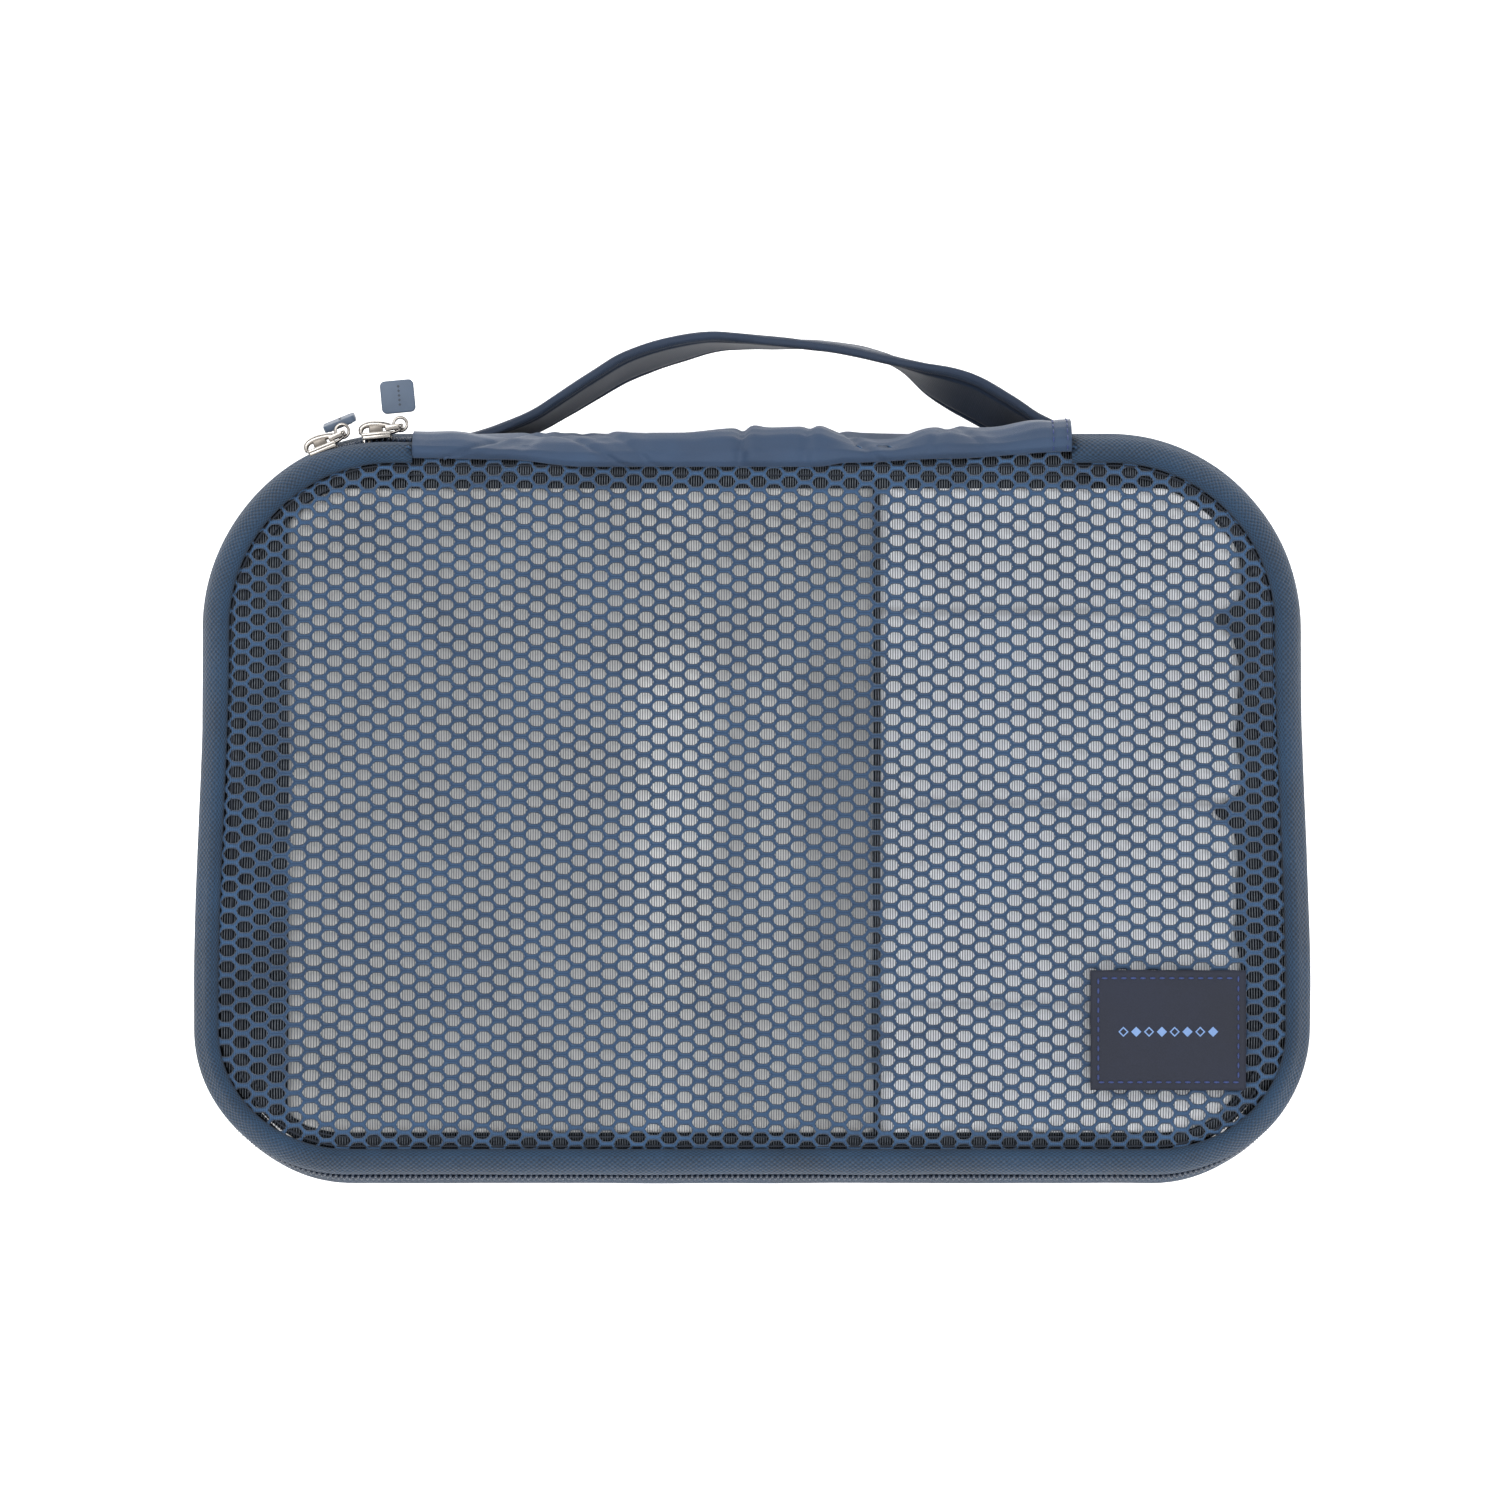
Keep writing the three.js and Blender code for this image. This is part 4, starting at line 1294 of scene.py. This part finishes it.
        motif = bmesh.new()
        count, pitch, reach = 8, 3.2 * MM, 1.25 * MM
        for index in range(count):
            x = middle.x + (index - (count - 1) / 2) * pitch
            y = middle.y - 0.4 * MM
            turn = Matrix.Rotation(math.pi / 4, 4, "Z")
            place = Matrix.Translation((x, y, lie(x, y) + 0.72 * MM)) @ turn
            made = bmesh.ops.create_grid(motif, x_segments=1, y_segments=1, size=reach * 0.72, matrix=place)
            face = made["verts"][0].link_faces[0]
            bmesh.ops.inset_region(motif, faces=[face], thickness=0.42 * MM, use_boundary=True)
            if index % 2 == 0:
                bmesh.ops.delete(motif, geom=[face], context="FACES")
        woven = Piece("label_motif", motif, self.finishes.label_thread, "label_thread", (), False)
        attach(woven.build(thicken(0.12 * MM, 1.0)), LID)


# ---- The filler ----


@dataclass
class Filler:
    """The two pale folded sheets that fill the cube out."""

    outline: Outline
    finishes: Finishes
    corner: float = 3.0 * MM
    folds: tuple[float, ...] = (48.8 * MM, 0.6 * MM, -49.8 * MM)
    # Painted light bands on the left sheet: by place along X in millimetres, how light the colour is, high
    # for painted highlights and low for painted shade.
    painted_light_bands: tuple[tuple[float, float], ...] = (
        (-116.0, 0.40), (-60.0, 0.42), (-36.0, 0.50), (-23.0, 0.98), (-13.0, 0.85), (-5.0, 0.40),
        (3.0, 0.62), (9.0, 0.55), (15.0, 0.22), (30.0, 0.16),
    )

    def build(self) -> None:
        """Build both sheets."""
        self._sheet("filler_sheet_left", self.finishes.filler_left, False)
        self._sheet("filler_sheet_right", self.finishes.filler_right, True)

    def _sheet(self, node: str, finish: bpy.types.Material, creased: bool) -> None:
        """Build one sheet: a top with a leg turned down at each end.

        Args:
            node: The CAD node that it stands for.
            finish: Its material.
            creased: Whether it has cross folds with painted shade along them and a notched outer edge; if
                not, it has painted highlight bands instead.
        """
        low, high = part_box(node)
        width = high.y - low.y
        leg = high.z - low.z
        top = high.x - low.x
        total = top + 2 * leg
        shape = self.outline
        within = 13.0 * MM

        def place(along: float, across: float) -> Vector:
            y = low.y + across * width
            run = along * total
            x, z = self._section(run, low.x, high.x, low.z, high.z)
            over = smooth((z - low.z) / leg)
            if creased:
                crease = max(math.exp(-(((y - fold) / (0.9 * MM)) ** 2)) for fold in self.folds)
                notch = max(math.exp(-(((y - fold + 2 * MM) / (3.0 * MM)) ** 2)) for fold in self.folds)
                z -= 0.7 * MM * crease * over
                if run > total / 2:
                    edge = smooth((x - high.x + 25 * MM) / (25 * MM))
                    x -= (5.5 * MM * notch + 1.5 * MM * ripple(0.0, y, 0.011, 1.7)) * edge
            else:
                ridge = math.exp(-(((x + 18 * MM) / (13 * MM)) ** 2))
                ridge *= math.exp(-(((y - 8 * MM) / (42 * MM)) ** 2))
                z += 0.5 * MM * ridge * over
                x += 0.5 * MM * ripple(x, y, 0.02, 2.2)
            z += 0.25 * MM * ripple(x, y, 0.035, 6.6) * over
            inset, outward = shape.inset_at(x, y)
            if inset < within:
                x -= outward.x * (within - inset)
                y -= outward.y * (within - inset)
            return Vector((x, y, z))

        mesh = mapped_grid(150, 165, place, (total, width))
        # Painted light per point: painted shade along the creases of the creased sheet, and on the other,
        # bands of painted highlight and shade that grow weaker towards its top and bottom ends.
        mark = mesh.verts.layers.float.new("mark")
        for vert in mesh.verts:
            x, y = vert.co.x / MM, vert.co.y / MM
            if creased:
                crease = max(math.exp(-(((vert.co.y - fold) / (1.1 * MM)) ** 2)) for fold in self.folds)
                vert[mark] = 1.0 - 0.95 * crease * (0.6 + 0.4 * ripple(x, y, 14.0, 2.0))
            else:
                along = smooth((46.0 - y) / 20.0) * smooth((y + 60.0) / 50.0)
                lit = curve_value(self.painted_light_bands, x)
                vert[mark] = 0.42 + (lit - 0.42) * (0.35 + 0.65 * along) + 0.06 * ripple(x, y, 22.0, 5.0)
        name = node.replace("_sheet", "")
        piece = Piece(name, mesh, finish, "filler_sheet", (node,))
        built = piece.build(thicken(0.5 * MM, -1.0))
        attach(built, CASE)

    def _section(self, run: float, x0: float, x1: float, z0: float, z1: float) -> tuple[float, float]:
        """Return the sheet's section point some way along it: up, over with round turns, and down."""
        leg = z1 - z0
        top = x1 - x0
        bend = self.corner
        if run <= leg:
            x, z = x0, z0 + run
        elif run <= leg + top:
            x, z = x0 + run - leg, z1
        else:
            x, z = x1, z1 - (run - leg - top)
        core_x = min(max(x, x0 + bend), x1 - bend)
        core_z = min(z, z1 - bend)
        away = Vector((x - core_x, z - core_z))
        if abs(away.x) > 1e-9 and away.y > 1e-9:
            away = away.normalized() * bend
            return core_x + away.x, core_z + away.y
        return x, z


# ---- The handle ----


@dataclass
class Handle:
    """The grab handle: a flat folded strap with a stitched hem along each edge, sewn at both ends."""

    outline: Outline
    finishes: Finishes
    thickness: float = 3.0 * MM
    # The front edge's outer line, and how far it leans out past the back edge, at places along it.
    front: tuple[tuple[float, float], ...] = (
        (-75.0, 94.2), (-70.0, 95.4), (-63.6, 97.6), (-56.0, 101.0), (-48.4, 105.8), (-40.9, 110.8),
        (-33.3, 115.5), (-25.7, 118.4), (-18.2, 120.2), (-10.6, 121.0), (-3.0, 120.5), (4.5, 119.6),
        (12.1, 118.8), (19.7, 117.9), (27.2, 116.5), (34.8, 114.8), (42.4, 113.4), (50.0, 112.2),
        (57.5, 110.0), (65.1, 105.6), (72.7, 100.4), (79.0, 97.2),
    )
    leans: tuple[tuple[float, float], ...] = (
        (-71.0, 0.2), (-60.0, 2.4), (-48.0, 3.8), (-33.0, 4.8), (-18.0, 3.6), (-6.0, 1.2), (6.0, -0.6),
        (18.0, -1.8), (34.0, -2.0), (40.0, 0.4), (46.0, 5.4), (54.0, 9.0), (62.0, 9.4), (71.0, 5.0),
        (79.0, 0.5),
    )

    def build(self) -> None:
        """Build the strap in two halves, each blended from its sewn end, and its stitches."""
        left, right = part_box("handle_anchor_left"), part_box("handle_anchor_right")
        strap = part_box("handle_strap")
        self.start, self.end = left[0].x - 4 * MM, right[1].x
        self.low, self.high = strap[0].z, strap[1].z
        middle = (strap[0].x + strap[1].x) / 2
        level = joint("handle_tilt")["pos_m"]
        left_nodes, right_nodes = ("handle_anchor_left", "handle_strap"), ("handle_anchor_right",)
        halves = {
            "handle_left_half": (self.start, middle, self.start + 9 * MM, left_nodes),
            "handle_right_half": (self.end, middle, self.end - 5 * MM, right_nodes),
        }
        for name, (from_x, to_x, sewn_x, nodes) in halves.items():
            columns = round(abs(to_x - from_x) / (1.1 * MM))

            def place(along: float, across: float, from_x: float = from_x, to_x: float = to_x) -> Vector:
                return self._surface(from_x + along * (to_x - from_x), across)

            girth = 2 * (self.high - self.low + self.thickness)
            mesh = mapped_grid(columns, 56, place, (abs(to_x - from_x), girth), closed=True)
            sewn = [
                edge
                for edge in mesh.edges
                if edge.is_boundary and abs(edge.verts[0].co.x - from_x) < abs(edge.verts[0].co.x - to_x)
            ]
            bmesh.ops.holes_fill(mesh, edges=sewn)
            bmesh.ops.recalc_face_normals(mesh, faces=mesh.faces[:])
            if self._faces_inward(mesh):
                bmesh.ops.reverse_faces(mesh, faces=mesh.faces[:])
            grip_x = from_x + (to_x - from_x) * 0.62
            ends = ((sewn_x, level[1], level[2]), (grip_x, level[1], level[2]))
            piece = Piece(name, mesh, self.finishes.strap_nylon, "navy_nylon", nodes)
            built = piece.build()
            run = self._run(from_x, to_x)
            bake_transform(built, CASE, "handle", *ends)
            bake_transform(self._stitches(name + "_stitches", from_x, to_x), CASE, "handle", *ends)

    def _faces_inward(self, mesh: bmesh.types.BMesh) -> bool:
        """Return whether most of a half's skin faces the strap's own middle line."""
        outward = 0.0
        for face in mesh.faces:
            middle = face.calc_center_median()
            outward += face.normal.dot(middle - Vector((middle.x, *self._core(middle.x))))
        return outward < 0

    def _run(self, from_x: float, to_x: float) -> float:
        """Return how long the strap's middle line is between two places."""
        points = [(x, self._core(x)[0]) for x in (from_x + (to_x - from_x) * i / 60 for i in range(61))]
        return sum(math.dist(a, b) for a, b in zip(points, points[1:]))

    def _core(self, x: float) -> tuple[float, float]:
        """Return the Y and Z of the strap's middle line at a place along it."""
        front = self._read(self.front, x)
        return front - self.thickness / 2 - self._read(self.leans, x) / 2, (self.low + self.high) / 2

    @staticmethod
    def _read(points: Sequence[tuple[float, float]], x: float) -> float:
        """Read a curve in millimetres, rounded through its points, and return metres."""
        at = x / MM
        index = next((i for i in range(len(points) - 1) if at <= points[i + 1][0]), len(points) - 2)
        around = [points[min(max(index + i, 0), len(points) - 1)] for i in (-1, 0, 1, 2)]
        (x0, y0), (x1, y1), (x2, y2), (x3, y3) = around
        share = min(max((at - x1) / (x2 - x1), 0.0), 1.0)
        span = x2 - x1
        slope1 = (y2 - y0) / (x2 - x0) * span
        slope2 = (y3 - y1) / (x3 - x1) * span
        a = 2 * y1 - 2 * y2 + slope1 + slope2
        b = -3 * y1 + 3 * y2 - 2 * slope1 - slope2
        return (((a * share + b) * share + slope1) * share + y1) * MM

    def _surface(self, x: float, across: float) -> Vector:
        """Return a point of the strap's skin, once round its section."""
        half_width = (self.high - self.low) / 2
        angle = 2 * math.pi * across
        power = 0.28
        u = math.copysign(abs(math.cos(angle)) ** power, math.cos(angle))
        v = math.copysign(abs(math.sin(angle)) ** 0.6, math.sin(angle))
        from_edge = (1 - abs(u)) * half_width
        groove = 0.55 * math.exp(-(((from_edge - 2.3 * MM) / (0.55 * MM)) ** 2))
        hollow = 0.30 * smooth((from_edge - 2.3 * MM) / (3.0 * MM))
        half_thick = self.thickness / 2 * (1.0 - groove - hollow)
        wrinkle = 0.3 * MM * ripple(x, u * half_width, 0.012, 3.9) * (1 - abs(u) ** 6)
        slope = (self._core(x + MM)[0] - self._core(x - MM)[0]) / (2 * MM)
        normal = Vector((-slope, 1.0, 0)).normalized()
        lean = self._read(self.leans, x)
        frill = 0.25 * MM * ripple(x, u, 0.006, 8.8) * abs(u) ** 8
        y, z = self._core(x)
        y += lean * u / 2 + frill
        z += u * math.sqrt(half_width**2 - (lean / 2) ** 2)
        return Vector((x, y, z)) + normal * (v * half_thick + wrinkle)

    def _stitches(self, name: str, from_x: float, to_x: float) -> bpy.types.Object:
        """Sew the line of stitches along both hems of one half."""
        places = []
        half_width = (self.high - self.low) / 2
        share = 1 - 2.3 * MM / half_width
        turn = math.acos(share ** (1 / 0.28)) / (2 * math.pi)
        for across in (turn, 0.5 - turn, 0.5 + turn, 1 - turn):
            count = round(abs(to_x - from_x) / (1.0 * MM))
            path = [self._surface(from_x + (to_x - from_x) * i / count, across) for i in range(count + 1)]
            places += stitch_places(path, 1.9 * MM, 0.9 * MM, 0.2 * MM)
        return Piece(name, beads(places), self.finishes.blue_thread, "label_thread").build()


# ---- The sliders ----


@dataclass
class Slider:
    """One zip slider: a cast body, a looped bridge, a ring and a moulded pull.

    Attributes:
        key: Its letter in the frame's names.
        finishes: The materials.
        hang: How far its pull hangs down from straight out, in degrees.
    """

    key: str
    outline: Outline
    finishes: Finishes
    hang: float
    plate_length: float = 7.6 * MM
    plate_height: float = 8.2 * MM
    plate: float = 1.1 * MM
    inner_face: float = -1.35 * MM
    outer_face: float = 1.2 * MM

    def __post_init__(self) -> None:
        """Find the slider's own axes from its joints."""
        axis = joint(f"pull_{self.key}_flop")["axis"]
        centre = joint(f"slider_{self.key}_run")["pos_m"]
        arc = self.outline.top_corner - self.outline.zip_inset
        self.turn = Matrix.Rotation(math.atan2(axis[1], axis[0]), 4, "Z")
        self.frame = Matrix.Translation(centre) @ self.turn @ Matrix.Translation((0, arc, 0))
        back = self.frame.inverted()
        self.pin = back @ Vector(joint(f"ring_{self.key}_swing")["pos_m"])
        self.eye = back @ Vector(joint(f"pull_{self.key}_flop")["pos_m"])

    def build(self) -> None:
        """Build the casting, the bridge with its lock, the ring and the pull."""
        self._body()
        self._bridge()
        self._ring()
        self._pull()

    def _finish(
        self, name: str, mesh: bmesh.types.BMesh, finish: bpy.types.Material, node: str, body: str
    ) -> None:
        """Move a mesh from the slider's own axes into place and make it a piece."""
        bmesh.ops.transform(mesh, matrix=self.frame, verts=mesh.verts[:])
        slot = "pull_rubber" if node.endswith("pull") else "nickel"
        piece = Piece(name, mesh, finish, slot, (node,))
        built = piece.build()
        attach(built, body)

    @staticmethod
    def _slab(mesh: bmesh.types.BMesh, low: Vector, high: Vector, round_by: float) -> None:
        """Add one block with rounded edges between two corners."""
        size = high - low
        middle = (high + low) / 2
        place = Matrix.Translation(middle) @ Matrix.Diagonal((*size, 1.0))
        made = bmesh.ops.create_cube(mesh, size=1.0, matrix=place)
        edges = list({edge for vert in made["verts"] for edge in vert.link_edges})
        bmesh.ops.bevel(
            mesh, geom=edges, offset=round_by, segments=3, profile=0.5, affect="EDGES", material=-1
        )

    def _body(self) -> None:
        """Cast the two plates, their turned-in flanges and the post between them."""
        mesh = bmesh.new()
        half, high = self.plate_length / 2, self.plate_height / 2
        outer, inner, plate = self.outer_face, self.inner_face, self.plate
        self._slab(mesh, Vector((-half, outer, -high)), Vector((half, outer + plate, high)), 0.4 * MM)
        self._slab(mesh, Vector((-half, inner - plate, -high)), Vector((half, inner, high)), 0.4 * MM)
        post_high = 0.4 * MM
        self._slab(
            mesh,
            Vector((-half + 0.2 * MM, inner - plate / 2, -post_high)),
            Vector((2.2 * MM - half, outer + plate / 2, post_high)),
            0.12 * MM,
        )
        for side in (-1, 1):
            edge = side * high
            near, far = sorted((edge, edge - side * 0.9 * MM))
            flanges = (
                (0.3 * MM, outer - 0.7 * MM, outer + 0.3 * MM),
                (0.6 * MM, inner - 0.3 * MM, inner + 0.4 * MM),
            )
            for setback, back, front in flanges:
                start = Vector((-half + setback, back, near))
                self._slab(mesh, start, Vector((half - setback, front, far)), 0.2 * MM)
        body = f"slider_{self.key}"
        self._finish(f"{body}_casting", mesh, self.finishes.nickel, f"{body}_body", body)

    def _bridge(self) -> None:
        """Bend the bridge, an oval loop over the outer plate, with a fork for the pin and a lock under it."""
        foot = self.outer_face + self.plate
        length, rise = self.plate_length * 1.3, 2.5 * MM
        bar = 0.55 * MM
        centre = Vector((0.9 * MM, foot + 0.2 * MM, 0))
        steps = 40

        def loop(along: float, across: float) -> Vector:
            angle = 2 * math.pi * along
            tube = 2 * math.pi * across
            x = centre.x + math.cos(angle) * length / 2
            lift = math.sin(angle)
            toward_ring = 0.5 + 0.5 * math.cos(angle)
            taper = 1.0 - 0.62 * toward_ring
            y = centre.y + (rise * taper * lift ** 0.75 if lift > 0 else 0.7 * MM * lift)
            out = Vector((math.cos(angle), 0.8 * math.sin(angle), 0)).normalized()
            thick = bar * (1.0 + 1.3 * max(0.0, lift) * (1.0 - toward_ring))
            aside = Vector((0, 0, math.sin(tube) * 0.95 * MM))
            return Vector((x, y, 0)) + out * math.cos(tube) * thick + aside

        mesh = mapped_grid(steps, 14, loop, (0.02, 0.005), closed=True)
        bmesh.ops.recalc_face_normals(mesh, faces=mesh.faces[:])
        for side in (-1, 1):
            near, far = sorted((side * 0.85 * MM, side * 1.45 * MM))
            start = Vector((self.plate_length / 2 - 1.6 * MM, self.pin.y - 0.75 * MM, near))
            end = Vector((self.pin.x + 0.7 * MM, self.pin.y + 0.65 * MM, far))
            self._slab(mesh, start, end, 0.25 * MM)
        bmesh.ops.create_cone(
            mesh,
            cap_ends=True,
            segments=16,
            radius1=0.48 * MM,
            radius2=0.48 * MM,
            depth=3.1 * MM,
            matrix=Matrix.Translation(self.pin),
        )
        body = f"slider_{self.key}"
        self._finish(f"{body}_bridge", mesh, self.finishes.nickel, f"{body}_cap", body)
        cover = bmesh.new()
        start = Vector((-1.9 * MM, foot - 0.1 * MM, -0.8 * MM))
        self._slab(cover, start, Vector((1.6 * MM, foot + 1.9 * MM, 0.8 * MM)), 0.3 * MM)
        bmesh.ops.transform(cover, matrix=self.frame, verts=cover.verts[:])
        block = Piece(f"slider_{self.key}_lock", cover, self.finishes.dark_nickel, "nickel")
        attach(block.build(), f"slider_{self.key}")

    def _ring(self) -> None:
        """Spin the ring that hangs on the pin."""
        mesh = bmesh.new()
        wire, radius = 0.4 * MM, 1.7 * MM
        middle = Vector((self.eye.x, self.eye.y - radius, 0))
        section = bmesh.ops.create_circle(mesh, cap_ends=False, segments=12, radius=wire)["verts"]
        bmesh.ops.rotate(mesh, verts=section, matrix=Matrix.Rotation(math.pi / 2, 3, "X"))
        bmesh.ops.translate(mesh, verts=section, vec=middle + Vector((radius, 0, 0)))
        bmesh.ops.spin(
            mesh,
            geom=mesh.verts[:] + mesh.edges[:],
            cent=middle,
            axis=(0, 0, 1),
            angle=2 * math.pi,
            steps=40,
            use_merge=True,
        )
        bmesh.ops.remove_doubles(mesh, verts=mesh.verts[:], dist=0.005 * MM)
        bmesh.ops.recalc_face_normals(mesh, faces=mesh.faces[:])
        owner = f"slider_{self.key}"
        self._finish(f"{owner}_loop", mesh, self.finishes.nickel, f"{owner}_ring", f"ring_{self.key}")

    def _pull(self) -> None:
        """Mould the pull: a rubber blade with round corners and edges, and a barrel along its foot."""
        mesh = bmesh.new()
        width, length, thick = 8.5 * MM, 9.4 * MM, 1.7 * MM
        foot = 1.15 * MM
        size = Vector((width, length - foot, thick))
        middle = Vector((0, (length + foot) / 2, 0))
        place = Matrix.Translation(middle) @ Matrix.Diagonal((*size, 1.0))
        made = bmesh.ops.create_cube(mesh, size=1.0, matrix=place)
        upright = [
            edge
            for vert in made["verts"]
            for edge in vert.link_edges
            if abs(edge.verts[0].co.z - edge.verts[1].co.z) > thick / 2
        ]
        bmesh.ops.bevel(
            mesh,
            geom=list(set(upright)),
            offset=1.3 * MM,
            segments=6,
            profile=0.5,
            affect="EDGES",
            material=-1,
        )
        rims = [edge for edge in mesh.edges if abs(edge.verts[0].co.z - edge.verts[1].co.z) < thick / 4]
        bmesh.ops.bevel(
            mesh, geom=rims, offset=0.28 * MM, segments=3, profile=0.5, affect="EDGES", material=-1
        )

        barrel = Matrix.Translation((0, foot + 0.95 * MM, -0.15 * MM)) @ Matrix.Rotation(math.pi / 2, 4, "Y")
        bmesh.ops.create_cone(
            mesh,
            cap_ends=True,
            segments=20,
            radius1=0.9 * MM,
            radius2=0.9 * MM,
            depth=width * 0.72,
            matrix=barrel,
        )
        marks = bmesh.new()
        for index in range(5):
            place = Matrix.Translation((0.4 * MM, (3.2 + 1.15 * index) * MM, thick / 2 + 0.01 * MM))
            turn = Matrix.Rotation(math.pi / 4, 4, "Z")
            dot = Matrix.Diagonal((0.55 * MM, 0.55 * MM, 0.05 * MM, 1))
            bmesh.ops.create_cube(marks, size=1.0, matrix=place @ turn @ dot)
        lower = Matrix.Translation(self.eye) @ Matrix.Rotation(math.radians(self.hang), 4, "X")
        bmesh.ops.transform(mesh, matrix=lower, verts=mesh.verts[:])
        bmesh.ops.transform(marks, matrix=self.frame @ lower, verts=marks.verts[:])
        owner = f"slider_{self.key}"
        self._finish(f"{owner}_tab", mesh, self.finishes.pull_rubber, f"{owner}_pull", f"pull_{self.key}")
        dots = Piece(f"slider_{self.key}_tab_marks", marks, self.finishes.pull_mark, "pull_rubber", (), False)
        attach(dots.build(), f"pull_{self.key}")


# ---- The studio ----


@dataclass
class Studio:
    """A pale floor, soft light and a camera straight above the lid."""

    outline: Outline
    camera_height: float = 1.55
    frame_width: float = 378.4 * MM
    centre: tuple[float, float] = (-0.5 * MM, 14.0 * MM)

    def build(self) -> None:
        """Set up the floor, the lights, the sky and the camera."""
        self._floor()
        self._light("key", (-0.55, 0.75, 1.3), 1.1, 21.0)
        self._light("fill", (0.8, -0.3, 1.2), 1.2, 11.0)
        self._light("front", (0.0, -1.0, 0.9), 1.0, 8.0)
        self._sky(1.0)
        self._camera()
        scene = bpy.context.scene
        scene.view_settings.view_transform = "Standard"
        scene.view_settings.look = "None"

    def _floor(self) -> None:
        """Lay the floor."""
        mesh = bmesh.new()
        bmesh.ops.create_grid(mesh, x_segments=1, y_segments=1, size=4.0)
        data = bpy.data.meshes.new("floor")
        mesh.to_mesh(data)
        mesh.free()
        material = bpy.data.materials.new("floor")
        material.use_nodes = True
        wiring = Wiring(material.node_tree)
        inputs = {"Base Color": (0.93, 0.93, 0.93, 1), "Roughness": 0.9}
        inputs |= {"Emission Color": (1, 1, 1, 1), "Emission Strength": 0.5}
        shader = wiring.add("BsdfPrincipled", inputs)
        wiring.add("OutputMaterial", {0: shader.outputs[0]})
        data.materials.append(material)
        floor = bpy.data.objects.new("floor", data)
        bpy.context.scene.collection.objects.link(floor)

    @staticmethod
    def _light(name: str, place: tuple[float, float, float], size: float, power: float) -> None:
        """Hang one soft square light that points at the cube."""
        data = bpy.data.lights.new(name, "AREA")
        data.size = size
        data.energy = power
        lamp = bpy.data.objects.new(name, data)
        lamp.location = place
        lamp.rotation_euler = (-Vector(place)).to_track_quat("-Z", "Y").to_euler()
        bpy.context.scene.collection.objects.link(lamp)

    @staticmethod
    def _sky(strength: float) -> None:
        """Light the scene evenly from all round."""
        world = bpy.data.worlds.new("studio")
        world.use_nodes = True
        wiring = Wiring(world.node_tree)
        upward = wiring.add("SeparateXYZ", {0: wiring.add("TexCoord").outputs["Generated"]}).outputs[2]
        bright = wiring.add(
            "MapRange",
            {
                "Value": upward,
                "From Min": 0.0,
                "From Max": 0.75,
                "To Min": 0.12 * strength,
                "To Max": strength,
            },
        ).outputs[0]
        glow = wiring.add("Background", {"Color": (1, 1, 1, 1), "Strength": bright})
        wiring.add("OutputWorld", {0: glow.outputs[0]})
        bpy.context.scene.world = world

    def _camera(self) -> None:
        """Set the camera straight above, looking down."""
        data = bpy.data.cameras.new("camera")
        data.sensor_width = 36.0
        data.lens = data.sensor_width * self.camera_height / self.frame_width
        camera = bpy.data.objects.new("camera", data)
        camera.location = (*self.centre, self.outline.zip_level + self.camera_height)
        bpy.context.scene.collection.objects.link(camera)
        bpy.context.scene.camera = camera


def main() -> None:
    """Build the cube's pieces in order, then the studio."""
    logging.basicConfig(level=logging.INFO, format="%(name)s: %(message)s")
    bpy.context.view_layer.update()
    outline = Outline()
    finishes = Finishes()
    CaseShell(outline, finishes).build()
    Zip(outline, finishes).build()
    HingePanel(outline, finishes).build()
    MeshLid(outline, finishes).build()
    Filler(outline, finishes).build()
    Handle(outline, finishes).build()
    Slider("a", outline, finishes, -80.0).build()
    Slider("b", outline, finishes, 0.0).build()
    Studio(outline).build()


if __name__ == "__main__":
    main()
